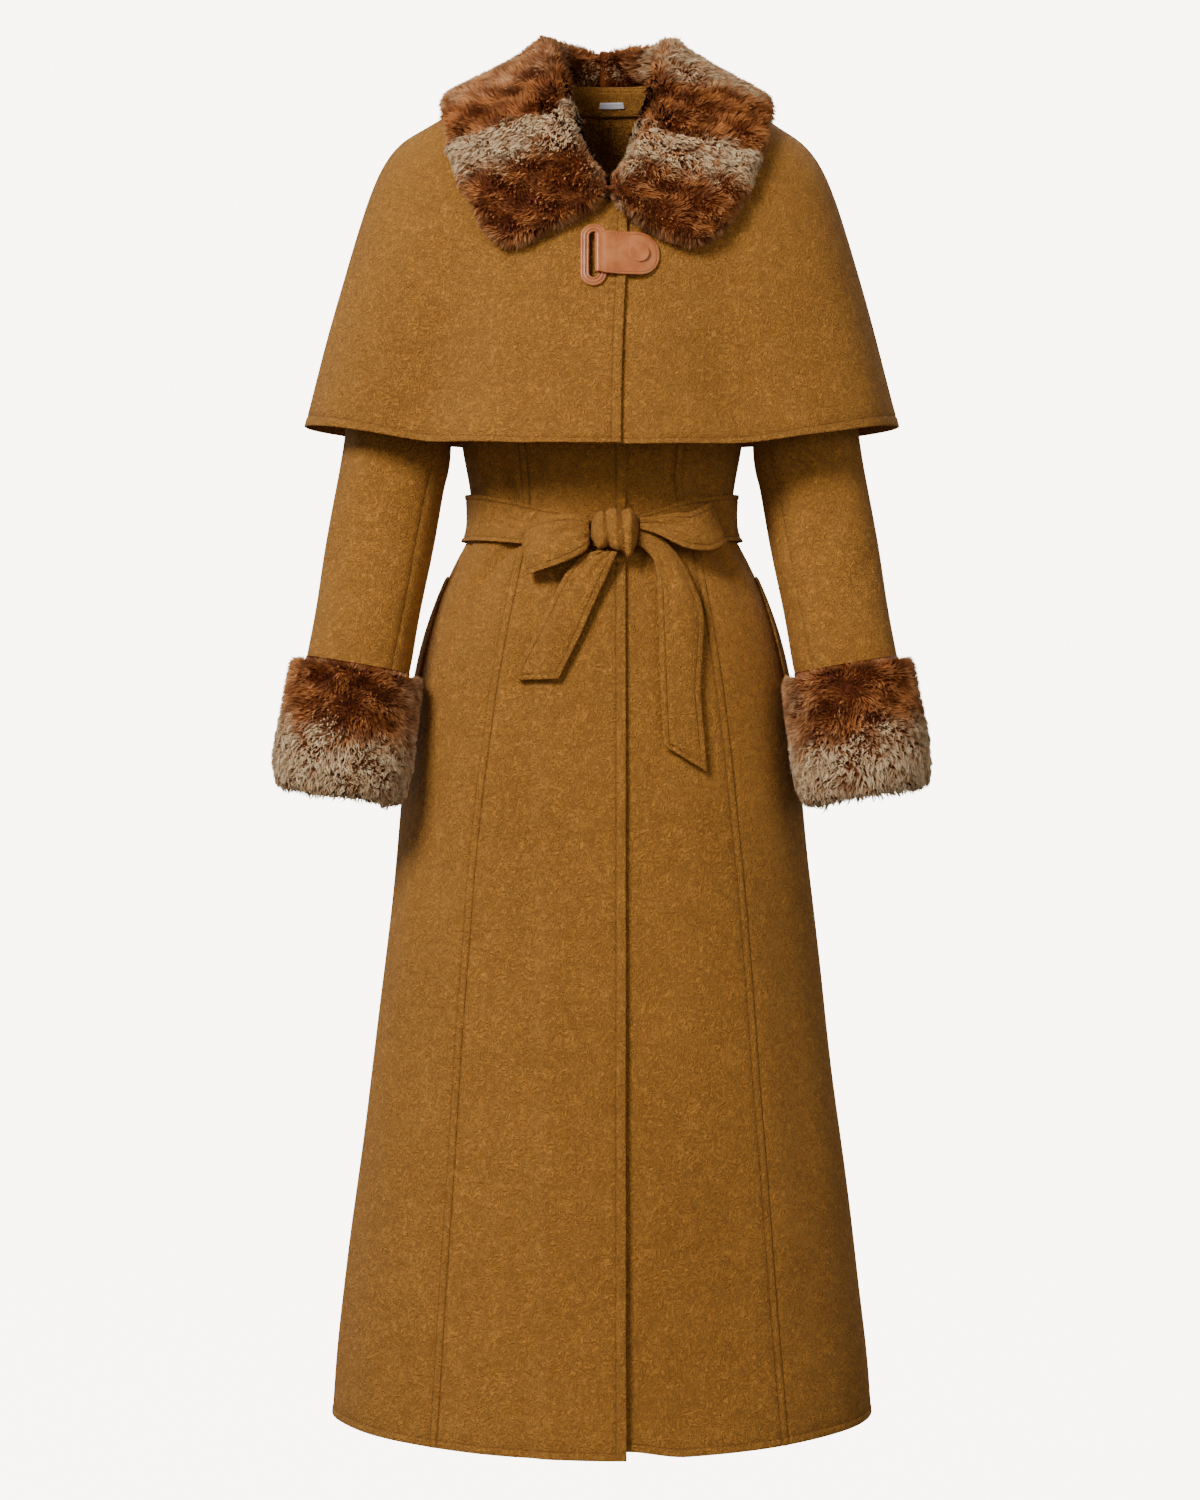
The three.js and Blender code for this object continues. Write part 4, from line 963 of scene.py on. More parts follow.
def armhole_ring(turn: Array) -> Array:
    """The ring that the armhole passes at a turn round it."""
    return mix(SHOULDER_RING, ARMPIT_RING, (1 - np.cos(turn * RAD)) / 2)


ARMHOLE_FRONT = 29.0
ARMHOLE_BACK = 26.0
PRINCESS_TOP = float(armhole_ring(np.array(180 * 5 / 8)))


def side_angle(w: Array, side: Side) -> Array:
    """The front panels' outer edge."""
    return side.value * (90 - armhole_drop(w, ARMHOLE_FRONT))


def back_angle(w: Array, side: Side) -> Array:
    """The back panel's outer edge."""
    return side.value * (90 + armhole_drop(w, ARMHOLE_BACK))


def princess_edge(w: Array, side: Side) -> Array:
    """The princess seam, which never passes the armhole.

    Args:
        w: The body's rings.
        side: The side of the wearer.

    Returns:
        The seam's angle at each ring.
    """
    row = table_row(BODY_RINGS, w)
    z = mix(row[..., 3], row[..., 4], 0.6)
    column = 1 if side is Side.RIGHT else 2
    x = np.interp(-z, -PRINCESS_SEAM[:, 0], PRINCESS_SEAM[:, column])
    seam = COAT.angle_at(side.value * x, w)
    top = side_angle(np.array(PRINCESS_TOP), side)
    met = mix(top, seam, smooth(PRINCESS_TOP, ARMPIT_RING, w))
    return side.value * np.minimum(np.abs(met), 87 - armhole_drop(w, ARMHOLE_FRONT))


def overlap_lift(x: Array, z: Array, y: Array | float = -100.0) -> Array:
    """How far the covering front stands off the body.

    Args:
        x: Distance to the wearer's left.
        z: Height.
        y: Distance behind the neck, which tells front from back.

    Returns:
        Millimetres outwards.
    """
    full = OVERLAP_RISE + HEM_FLARE * smooth(-480, -1236, z) * smooth(-40, FRONT_EDGE, x)
    chest = smooth(-300, -235, z)
    across = smooth(-UNDERLAP - 34 - 38 * chest, -UNDERLAP - 14 - 22 * chest, x)
    return full * across * smooth(-55, -78, y)


def cape_lift(x: Array) -> Array:
    """How far the cape's covering front stands off."""
    return OVERLAP_RISE * smooth(-UNDERLAP - 44, -UNDERLAP - 16, x)


def across_lift(x: Array) -> Array:
    """The lift below anything that lies across the cape's closed front."""
    return cape_lift(x) * (1 - smooth(CAPE_EDGE_NECK + 3, CAPE_EDGE_NECK + 30, x))


def body_ring_at(z: Array) -> Array:
    """The ring of the body at a height, below the armholes."""
    fine = np.linspace(ARMPIT_RING, BODY_HEM, 1200)
    return np.interp(-z, -table_row(BODY_RINGS, fine)[:, 3], fine)


def on_front(x: Array, z: Array, out: Array) -> Array:
    """A point over the coat's front, moved out from the outer face.

    Args:
        x: Its distance to the wearer's left.
        z: Its height.
        out: How far out it lies.

    Returns:
        The point.
    """
    bridge = 1 - smooth(FRONT_EDGE + 4, FRONT_EDGE + 34, x)
    total = (CLOTH / 2 + overlap_lift(x, z) * bridge + out)[..., None]
    at_x, at_z = np.array(x, float), np.array(z, float)
    point = np.zeros((*at_x.shape, 3))
    for _ in range(8):
        w = body_ring_at(at_z)
        angle = COAT.angle_at(at_x, w)
        point = COAT.form(angle, w) + COAT.normal(angle, w, COAT.form) * total
        at_x = at_x + x - point[..., 0]
        at_z = at_z + z - point[..., 2]
    return point


def on_cape(x: Array, z: Array, out: Array) -> Array:
    """A point over the cape's front, with on_front's Args and Returns."""
    x, z, out = np.broadcast_arrays(*(np.asarray(v, float) for v in (x, z, out)))
    low, high = np.zeros_like(x), np.full_like(x, CAPE_HEM)
    for _ in range(30):
        w = (low + high) / 2
        above = CAPE.form(CAPE.angle_at(x, w), w)[..., 2] > z
        low, high = np.where(above, w, low), np.where(above, high, w)
    return CAPE.out(CAPE.angle_at(x, low), low, CLOTH / 2 + across_lift(x) + out)


@dataclass
class CoatBody:
    """The body's six panels, with the seam strip inside the back and the pocket welts.

    Args:
        wool: The cloth's material.
        strip_half: Half width of the strip over the back seam.
        strip_rings: The body's rings where the strip starts and ends.
        welt_rings: The body's rings where a pocket welt starts and ends.
        welt_wall: A pocket welt's thickness.
    """

    wool: Material
    strip_half: float = 4.2
    strip_rings: tuple[float, float] = (1.25, 26.0)
    welt_rings: tuple[float, float] = (17.1, 21.6)
    welt_wall: float = 1.6

    def build(self) -> None:
        """Builds every piece of the body."""
        strip = self.seam_strip()
        for side in Side:
            covering = side is Side.RIGHT
            edge_x = FRONT_EDGE if covering else -UNDERLAP
            front = Panel(
                COAT, 0.0, lambda w, x=edge_x: COAT.angle_at(x, w),
                lambda w, s=side: np.where(w < PRINCESS_TOP, side_angle(w, s), princess_edge(w, s)),
                (EDGE, BARE, HEM),
                lift=(lambda p: overlap_lift(p[..., 0], p[..., 2], p[..., 1])) if covering else None,
            )
            side_front = Panel(
                COAT, PRINCESS_TOP, lambda w, s=side: princess_edge(w, s),
                lambda w, s=side: side_angle(w, s), (WELT, BARE, HEM),
            )
            back = Panel(
                COAT, 0.0, lambda w, s=side: back_angle(w, s),
                lambda w, s=side: np.full_like(w, s.value * 180.0),
            )
            self.panel(f"front_{side.word}", front, raised=not covering)
            self.panel(f"side_front_{side.word}", side_front)
            self.panel(f"back_{side.word}", back, extra=(strip,) if covering else ())
            self.pocket_welt(side)

    def panel(self, name: str, panel: Panel, raised: bool = False, extra: Sequence = ()) -> None:
        """Builds one panel.

        Args:
            name: The piece's name.
            panel: Its shape.
            raised: Whether its hem rises beside the centre, as the covered front's does.
            extra: Pieces that are sewn on it; not used.
        """
        sheet = panel.sheet()
        if raised:
            x, z = sheet.points[..., 0], sheet.points[..., 2]
            sheet.points[..., 2] += UNDER_RISE * smooth(-1100, -1230, z) * (1 - smooth(20, 75, x))
        piece = Piece(name, sheet.mesh(name), self.wool, "wool", (name,), CLOTH).place()
        declare(sheet)

    def pocket_welt(self, side: Side) -> None:
        """Builds the welt of one pocket, which lies beside the side seam."""
        top, foot = self.welt_rings
        w = np.linspace(top, foot, 44)[:, None]
        t = np.array([0, 0.05, 0.16, 0.36, 0.5, 0.64, 0.84, 0.95, 1])[None, :]
        angle = side.value * (89 - mix(8.45, 13, smooth(17, 19, w)) * t)
        edge = np.minimum(np.minimum(t, 1 - t) * 30, np.minimum(w - top, foot - w) * 40)
        line = bell(edge - 4.5, 1.2)
        out = CLOTH / 2 + LAY_GAP + self.welt_wall - 0.5 * (np.clip(1 - edge / 1.2, 0, 1) ** 2 + line)
        points = COAT.out(angle, w, out)
        normal = COAT.normal(angle, w, COAT.at)
        name = f"pocket_welt_{side.word}"
        sheet = Sheet(points, normal, t * 30, w * 30, {"groove": line})
        piece = Piece(name, sheet.mesh(name), self.wool, "wool", (name,), self.welt_wall).place()
        declare(sheet)

    def seam_strip(self) -> Object:
        """Builds the raised strip that covers the back seam inside the coat."""
        name = "back_seam_strip"
        w = np.linspace(*self.strip_rings, 150)[:, None]
        half = self.strip_half / (table_row(BODY_RINGS, w)[..., 0] * RAD)
        t = np.array([-1, -0.86, -0.66, -0.5, 0, 0.5, 0.66, 0.86, 1])[None, :]
        edge = (1 - np.abs(t)) * self.strip_half
        line = bell(edge - 1.4, 0.5)
        deep = CLOTH / 2 + 1.35 - 0.4 * np.clip(1 - edge, 0, 1) - 0.25 * line
        angle = 180 + half * t
        points = COAT.out(angle, w, -deep)
        normal = -COAT.normal(angle, w, COAT.at)
        sheet = Sheet(points, normal, t * self.strip_half, w * 30, {"groove": line})
        return Piece(name, sheet.mesh(name), self.wool, "wool", (), 0.9).place()


@dataclass
class Sleeves:
    """The two-piece sleeves.

    Args:
        wool: The cloth's material.
        seam: The turn at which the two pieces meet.
        cell: The size of a grid cell.
        half: The sleeve's mean half width, which turns degrees into millimetres.
        slope: How far the sleeve's rings rise for each millimetre outwards.
        folds: Its creases, each from a turn and run to another.
    """

    wool: Material
    seam: float = 135.0
    cell: float = 8.0
    half: float = 48.0
    slope: ClassVar[float] = 0.17
    folds: tuple[Fold, ...] = (
        Fold((70, 4.2), (112, 5.6), 9, 3.2), Fold((108, 3.2), (60, 4.3), 8, 2.2),
        Fold((40, 5.4), (92, 6.6), 9, 2.2), Fold((118, 1.6), (96, 3.4), 10, 3.0),
        Fold((262, 4.0), (226, 5.4), 10, 3.4), Fold((236, 2.6), (282, 4.0), 9, 2.6),
        Fold((300, 5.0), (252, 6.4), 9, 2.0), Fold((20, 1.4), (34, 4.6), 13, 1.6),
        Fold((338, 1.6), (326, 5.2), 13, 1.8), Fold((86, 7.0), (60, 8.2), 8, 1.5),
        Fold((180, 3.6), (168, 5.2), 10, 2.4),
    )

    @staticmethod
    def armhole(turn: Array, side: Side, out: float) -> Array:
        """A point of the body on the armhole's edge, moved out."""
        folded = np.where(turn > 180, 360 - turn, turn)
        w = armhole_ring(folded)
        return COAT.out(np.where(turn > 180, back_angle(w, side), side_angle(w, side)), w, out)

    @classmethod
    def plain(cls, turn: Array, run: Array, side: Side) -> Array:
        """A point of the sleeve's plain surface.

        Args:
            turn: Degrees round it, from its outer side over its front.
            run: How far down it, from 0 at the armhole to the number of its rings.
            side: The side of the wearer.

        Returns:
            The point.
        """
        turn, run = np.broadcast_arrays(np.asarray(turn, float) % 360, np.asarray(run, float))
        row = table_row(SLEEVE_RINGS, np.maximum(run - 1, 0))
        lie = math.hypot(1, cls.slope)
        cos, sin = np.cos(turn * RAD), np.sin(turn * RAD)
        ring = np.stack([
            side.value * (row[..., 0] + row[..., 3] * cos / lie),
            row[..., 1] - row[..., 4] * sin,
            row[..., 2] + row[..., 3] * cos * cls.slope / lie,
        ], -1)
        start = cls.armhole(turn, side, CLOTH / 2 + 2 * SEAM_GAP)
        under = (1 - cos) / 2
        leave = unit(np.stack([side.value * np.ones_like(sin), sin * -0.35, mix(-0.45, 0.25, under**2)], -1))
        leave = leave * mix(95, 42, np.sqrt(under))[..., None]
        arrive = np.array([side.value * cls.slope, -0.1, -0.97]) * mix(230, 70, np.sqrt(under))[..., None]
        eased = curve(np.clip(run, 0, 1)[..., None], start, ring, leave, arrive)
        return np.where((run >= 1)[..., None], ring, eased)

    @classmethod
    def normal(cls, turn: Array, run: Array, side: Side) -> Array:
        """The outward normal of the plain surface, which lies along the body's surface at the armhole.

        Args:
            turn: Degrees round the sleeve.
            run: How far down it.
            side: The side of the wearer.

        Returns:
            The normal.
        """
        turn, run = np.broadcast_arrays(np.asarray(turn, float), np.asarray(run, float))
        above, below = np.maximum(0, run - 0.04), np.minimum(len(SLEEVE_RINGS), run + 0.04)
        along = cls.plain(turn + 2, run, side) - cls.plain(turn - 2, run, side)
        down = cls.plain(turn, below, side) - cls.plain(turn, above, side)
        plain = unit(np.cross(along, down)) * side.value
        edge = turn % 360
        beside = unit(cls.armhole(edge + 3, side, 0) - cls.armhole(edge - 3, side, 0))
        out = cls.armhole(edge, side, 1) - cls.armhole(edge, side, 0)
        away = unit(np.cross(beside, out)) * side.value
        return unit(mix(away, plain, smooth(0, 0.1, run)[..., None]))

    def build(self) -> None:
        """Builds the top and the under sleeve on each side."""
        for side in Side:
            self.piece("top_sleeve", side, -self.seam, self.seam)
            self.piece("under_sleeve", side, self.seam, 360 - self.seam)

    def piece(self, kind: str, side: Side, start: float, end: float) -> None:
        """Builds one piece of a sleeve.

        Args:
            kind: The piece's name, without its side.
            side: The side of the wearer.
            start: The turn of its first edge.
            end: The turn of its second edge.
        """
        last = float(len(SLEEVE_RINGS))
        fine = np.linspace(0, last, 400)
        track = self.plain(np.full_like(fine, (start + end) / 2), fine, side)
        length = lengths(track)
        plan = steps(length[-1], self.cell, (0.0, 0.7, 1.8, 4.0), (0.0, 0.7, 1.8))
        down = plan[:, 0] * length[-1] + plan[:, 1]
        run = np.interp(down, length, fine)[:, None]
        span = (end - start) * self.half * RAD
        plan = steps(span, self.cell * 0.8, BARE.marks(), BARE.marks())
        across = plan[:, 0] * (span + SEAM_OVERLAP) + plan[:, 1] - SEAM_OVERLAP / 2
        turn, run = np.broadcast_arrays((start + across / self.half / RAD)[None, :], run)
        point, normal = self.plain(turn, run, side), self.normal(turn, run, side)
        beside = np.minimum(across, span - across)[None, :]
        inward = sum(fold.inward(turn % 360, run, self.half) for fold in self.folds)
        inward = inward + 0.6 * np.sin(run * 2.1 + turn * 0.04) * smooth(1, 2, run)
        inward = inward * (1 - smooth(7.0, 7.6, run)) * smooth(0.7, 1.4, run)
        out = CLOTH / 2 - inward + BARE.relief(beside)
        name = f"{kind}_{side.word}"
        groove = 0.7 * bell(beside, 0.9) if kind == "top_sleeve" else np.array(0.0)
        sheet = Sheet(point + normal * out[..., None], normal, across, down[:, None], {"groove": groove})
        piece = Piece(name, sheet.mesh(name), self.wool, "wool", (name,), CLOTH).place()
        declare(sheet)


@dataclass
class Cape:
    """The cape: two fronts and a back.

    Args:
        wool: The cloth's material.
        slit: Width and height of the slit behind the clasp's ring.
    """

    wool: Material
    slit: tuple[float, float] = (7.0, 41.0)

    def build(self) -> None:
        """Builds the three pieces."""
        right = self.panel("cape_front_right", Panel(
            CAPE, 0.0,
            lambda w: CAPE.angle_at(mix(CAPE_EDGE_NECK, CAPE_EDGE_HEM, smooth(2, CAPE_HEM, w)), w),
            lambda w: np.full_like(w, -90.0),
            (EDGE, WELT, HEM), (7.0, 7.0), lambda p: cape_lift(p[..., 0]),
        ))
        self.cut_slit(right)
        self.panel("cape_front_left", Panel(
            CAPE, 0.0,
            lambda w: CAPE.angle_at(4 - UNDERLAP, w),
            lambda w: np.full_like(w, 90.0),
            (BARE, WELT, HEM), (7.0, 7.0),
        ))
        self.panel("cape_back", Panel(
            CAPE, 0.0, lambda w: np.full_like(w, 90.0), lambda w: np.full_like(w, 270.0),
            (BARE, BARE, HEM), (8.0, 7.0),
        ))

    def panel(self, name: str, panel: Panel) -> Object:
        """Builds one panel of the cape."""
        sheet = panel.sheet()
        piece = Piece(name, sheet.mesh(name), self.wool, "wool", (name,), CLOTH).place()
        declare(sheet)
        return piece

    def cut_slit(self, piece: Object) -> None:
        """Cuts the slit that the strap comes through, and keeps the cut mesh."""
        centre = on_cape(CLASP_CENTRE[0], CLASP_CENTRE[1], -CLOTH / 2) * MM
        bm = bmesh.new()
        bmesh.ops.create_cube(bm, size=1.0)
        wide, high = self.slit
        bmesh.ops.scale(bm, vec=(wide * MM, 12 * MM, high * MM), verts=bm.verts)
        bmesh.ops.rotate(bm, matrix=Clasp.tilt(), verts=bm.verts)
        bmesh.ops.translate(bm, vec=Vector(centre), verts=bm.verts)
        cutter = in_scene("slit", finished(bm, "slit"))
        cut = piece.modifiers.new("slit", "BOOLEAN")
        cut.object = cutter
        cut.operation = "DIFFERENCE"
        whole = bpy.data.meshes.new_from_object(piece.evaluated_get(bpy.context.evaluated_depsgraph_get()))
        piece.modifiers.clear()
        piece.data = whole
        bpy.data.objects.remove(cutter)


@dataclass
class Belt:
    """The tie belt: band, knot, two loops and two tails.

    Args:
        wool: The cloth's material.
        wall: Thickness of the band.
        tie_wall: Thickness of the bow's cloth.
        stitch: Distance of the stitched line from each edge.
        side_heights: The band's upper and lower edge at the sides.
        knot_heights: The same at the knot.
        knot_place: The knot's middle, as seen from the front.
        knot_size: Half its width, half its height and half its depth.
        gathers: The share of its width and the angle of each small crease in the band.
        loops: Rows of a loop's edges from the knot, as the comment over them says.
        tails: The same for a tail.
    """

    wool: Material
    wall: float = 3.0
    tie_wall: float = 2.6
    stitch: float = 4.6
    side_heights: tuple[float, float] = (-383.0, -429.5)
    knot_heights: tuple[float, float] = (-408.0, -440.0)
    knot_place: tuple[float, float] = (11.5, -421.0)
    knot_size: tuple[float, float, float] = (22.0, 18.5, 12.0)
    gathers: tuple[tuple[float, float], ...] = (
        (0.35, -22.0), (0.62, -18.0), (0.45, 40.0), (0.7, 34.0), (0.4, 150.0), (0.6, -120.0),
    )
    # Left x and z, right x and z, distance from the coat, height of the crown.
    loops: Mapping[str, Array] = field(default_factory=lambda: {
        "right": np.array([
            (-12, -413.5, -12, -434, 13, 0), (-25, -409.5, -17, -442.5, 20, 3),
            (-46, -410.5, -37, -452.5, 22, 3), (-64, -415.5, -57, -459, 20, 2),
            (-71.5, -421.5, -65, -461.5, 15, 1), (-71.5, -420, -65, -458, 10, 0),
            (-60, -414, -54, -450, 7.5, 0), (-36, -407, -32, -438, 7.8, 0), (-12, -411, -12, -428, 7.5, 0),
        ], float),
        "left": np.array([
            (34, -412, 34, -420, 12, 0), (50, -409.5, 50, -425, 18, 1), (64, -407, 63, -432, 21, 2),
            (79, -405.5, 79, -438.5, 22, 3), (92, -399, 98, -439, 20, 2), (97.5, -394.5, 112, -431, 14, 1),
            (95, -391, 110, -429, 9, 0), (83, -391, 94, -428, 7.2, 0), (67, -396, 70, -424, 7.2, 0),
            (50, -404, 50, -417, 7.2, 0), (34, -409, 34, -415, 7.2, 0),
        ], float),
    })
    tails: Mapping[str, Array] = field(default_factory=lambda: {
        "right": np.array([
            (-1, -441, 13, -442, 13, 1), (-17, -446.5, 8.5, -452, 11, 3), (-30, -459, 2.5, -466, 9, 3),
            (-42, -481, -7, -487, 7, 2), (-57, -512, -20, -517, 6, 2), (-75, -547, -32, -541.5, 5, 1),
            (-73.5, -555.5, -38.5, -555, 5, 0),
        ], float),
        "left": np.array([
            (33, -434, 33.6, -418, 7, 1), (41, -441, 46, -423, 8, 3), (47, -449, 58, -433, 8, 4),
            (49.5, -463, 71, -450, 7.5, 5), (50, -480, 82.5, -473, 7, 5), (50.5, -502, 90, -498, 6, 4),
            (51.5, -530, 89, -530, 4.5, 3), (52.5, -565, 87, -565, 3.5, 2), (54, -597, 90, -603, 3, 1),
            (55, -614, 92.5, -637, 3, 0),
        ], float),
    })

    def build(self) -> None:
        """Builds the belt's pieces."""
        knot = self.knot()
        self.band(knot)
        for side in Side:
            self.strip(f"belt_loop_{side.word}", self.loops[side.word], Held.FOLDED)
            self.strip(f"belt_tail_{side.word}", self.tails[side.word], Held.HUNG)

    def band(self, knot: Object) -> None:
        """Builds the band round the waist, which dips to the knot that is sewn up with it."""
        angle = np.linspace(0, 360, 181)[None, :]
        near = bell(np.where(angle > 180, angle - 360, angle), 42)
        top = mix(self.side_heights[0], self.knot_heights[0], near)
        foot = mix(self.side_heights[1], self.knot_heights[1], near)
        trim = Trim(self.stitch, 0.8, 0.5)
        width = self.side_heights[0] - self.side_heights[1]
        plan = steps(width, 5.5, trim.marks(), trim.marks())
        share = (plan[:, 0] + plan[:, 1] / width)[:, None]
        z = mix(top, foot, share)
        w = body_ring_at(z)
        angle = angle * np.ones_like(w)
        plain = COAT.form(angle, w)
        normal = COAT.normal(angle, w, COAT.form)
        bridge = 1 - smooth(FRONT_EDGE + 4, FRONT_EDGE + 34, plain[..., 0])
        rise = np.where(plain[..., 1] < 0, overlap_lift(plain[..., 0], z) * bridge, 0)
        from_top = share * width
        soft = 0.5 * np.sin(angle * 0.17 + share * 2.0) * np.sin(share * math.pi)
        turned = (angle + 180) % 360 - 180
        gather = sum(
            0.8 * bell(share - place - 0.1 * np.sin(angle * 0.1), 0.07) * bell(turned - at, 13)
            for place, at in self.gathers
        )
        out = CLOTH / 2 + rise + BELT_OUT + self.wall + soft - gather
        out = out + trim.relief(from_top) + trim.relief(width - from_top)
        groove = trim.stitched(from_top) + trim.stitched(width - from_top)
        sheet = Sheet(plain + normal * out[..., None], normal, angle * 2.2, from_top, {"groove": groove})
        mesh = sheet.mesh("belt_band")
        bm = bmesh.new()
        bm.from_mesh(mesh)
        bmesh.ops.remove_doubles(bm, verts=bm.verts, dist=1e-6)
        bm.to_mesh(mesh)
        bm.free()
        piece = Piece("belt_band", mesh, self.wool, "wool", ("belt_band",), self.wall - 0.5).place()
        declare(sheet)

    def strip(self, name: str, rows: Array, held: Held) -> None:
        """Builds a loop or a tail.

        Args:
            name: The piece's name.
            rows: The rows of its two edges.
            held: Folded for a loop, hung for a tail, whose end has a stitched line too.
        """
        fine = np.linspace(0, len(rows) - 1, 300)
        track = table_row(rows, fine)
        middle = np.stack([(track[:, 0] + track[:, 2]) / 2, (track[:, 1] + track[:, 3]) / 2, track[:, 4]], -1)
        length = lengths(middle)
        plan = steps(length[-1], 3.6, (0.0, 0.7, 1.8), (0.0, 0.7, 1.8, 3.9, 4.6, 5.3))
        down = plan[:, 0] * length[-1] + plan[:, 1]
        row = table_row(rows, np.interp(down, length, fine))
        wide = np.hypot(row[:, 2] - row[:, 0], row[:, 3] - row[:, 1])[:, None]
        trim = Trim(self.stitch, 0.75, 0.6)
        plan = steps(40.0, 3.2, trim.marks(), trim.marks())
        shrink = np.minimum(1, wide / 34.0)
        across = plan[:, 0] * wide + plan[:, 1] * shrink
        t = across / wide
        crown = row[:, 5:6] * 4 * t * (1 - t)
        left_x, left_z, right_x, right_z, out = (row[:, i : i + 1] for i in range(5))
        edge = np.minimum(across, wide - across) / shrink
        end = np.minimum(edge, (length[-1] - down)[:, None]) if held is Held.HUNG else edge
        pleat = self.pleats(name, t, down[:, None] / length[-1])
        lift = out + crown + self.tie_wall / 2 + trim.relief(end) * 0.8 + pleat
        points = on_front(mix(left_x, right_x, t), mix(left_z, right_z, t), lift)
        along, over = np.gradient(points, axis=0), np.gradient(points, axis=1)
        normal = unit(np.cross(along, over))
        normal = normal * -np.sign(normal[0 if held is Held.HUNG else 2, :, 1].mean())
        sheet = Sheet(points, normal, across, down[:, None], {"groove": trim.stitched(end)})
        piece = Piece(name, sheet.mesh(name), self.wool, "wool", (name,), self.tie_wall, centred=True).place()
        declare(sheet)

    @staticmethod
    def pleats(name: str, t: Array, along: Array) -> Array:
        """The small folds that the knot presses into a loop or tail.

        Args:
            name: The piece's name.
            t: The share of its width.
            along: The share of its length.

        Returns:
            How far each point is moved out.
        """
        # Share of the width where it starts and ends, its width, share of the length likewise, height.
        folds = {
            "belt_loop_right": ((0.32, 0.5, 0.10, 0.0, 0.34, -2.6), (0.7, 0.62, 0.10, 0.0, 0.28, -2.2)),
            "belt_loop_left": ((0.4, 0.46, 0.12, 0.0, 0.36, -2.0), (0.72, 0.7, 0.08, 0.05, 0.3, -1.4)),
            "belt_tail_right": ((0.3, 0.36, 0.10, 0.0, 0.55, -2.2), (0.68, 0.6, 0.10, 0.0, 0.4, -1.8)),
            "belt_tail_left": ((0.34, 0.3, 0.08, 0.12, 0.5, -3.2), (0.66, 0.72, 0.12, 0.1, 0.6, 1.2)),
        }
        total = np.zeros(np.broadcast_shapes(t.shape, along.shape))
        for start, end, width, low, high, depth in folds.get(name, ()):
            share = np.clip((along - low) / (high - low), 0, 1)
            held = smooth(low - 0.05, low + 0.05, along) * (1 - smooth(mix(low, high, 0.5), high, along))
            total = total + depth * bell(t - mix(start, end, share), width) * held
        return total

    def knot(self) -> Object:
        """Builds the knot: a wrap with slanting ridges, painted shade in the troughs between them, and a nub
        at its lower end.
        """
        half, high, deep = self.knot_size
        along = np.linspace(-1, 1, 61)[:, None]
        a = np.linspace(0, 2 * np.pi, 73)[None, :]
        full = np.sqrt(np.clip(1 - along**4, 0, 1)) * 0.93 + 0.02
        slant = 3 * np.pi * along + 1.4 * np.sin(a)
        ridge = 1 + 0.085 * np.cos(slant) - 0.05 * np.clip(np.cos(slant + np.pi), 0, 1) ** 6
        wrinkle = 1 + 0.02 * np.sin(9 * along + 3 * a) + 0.012 * np.sin(23 * along - 2 * a)
        nub = 10 * bell(along - 0.66, 0.3) * np.minimum(0, np.sin(a)) ** 2
        z = np.sin(a) * high * full * ridge * wrinkle - nub
        out = 5.4 + (1 - np.cos(a)) * deep * full * ridge * wrinkle + 0.6 * (1 - full)
        points = on_front(self.knot_place[0] + along * half + 0.1 * z, self.knot_place[1] + z, out)
        # Painted shade: the wool is darkened toward its thread colour in the troughs between the ridges.
        groove = 0.8 * np.clip(np.cos(slant + np.pi), 0, 1) ** 10
        sheet = Sheet(points, np.zeros_like(points), a * high, along * half, {"groove": groove})
        mesh = sheet.mesh("belt_knot", close=True)
        return Piece("belt_knot", mesh, self.wool, "wool", ("belt_knot",)).place()


CLASP_CENTRE = (-7.3, -181.6)


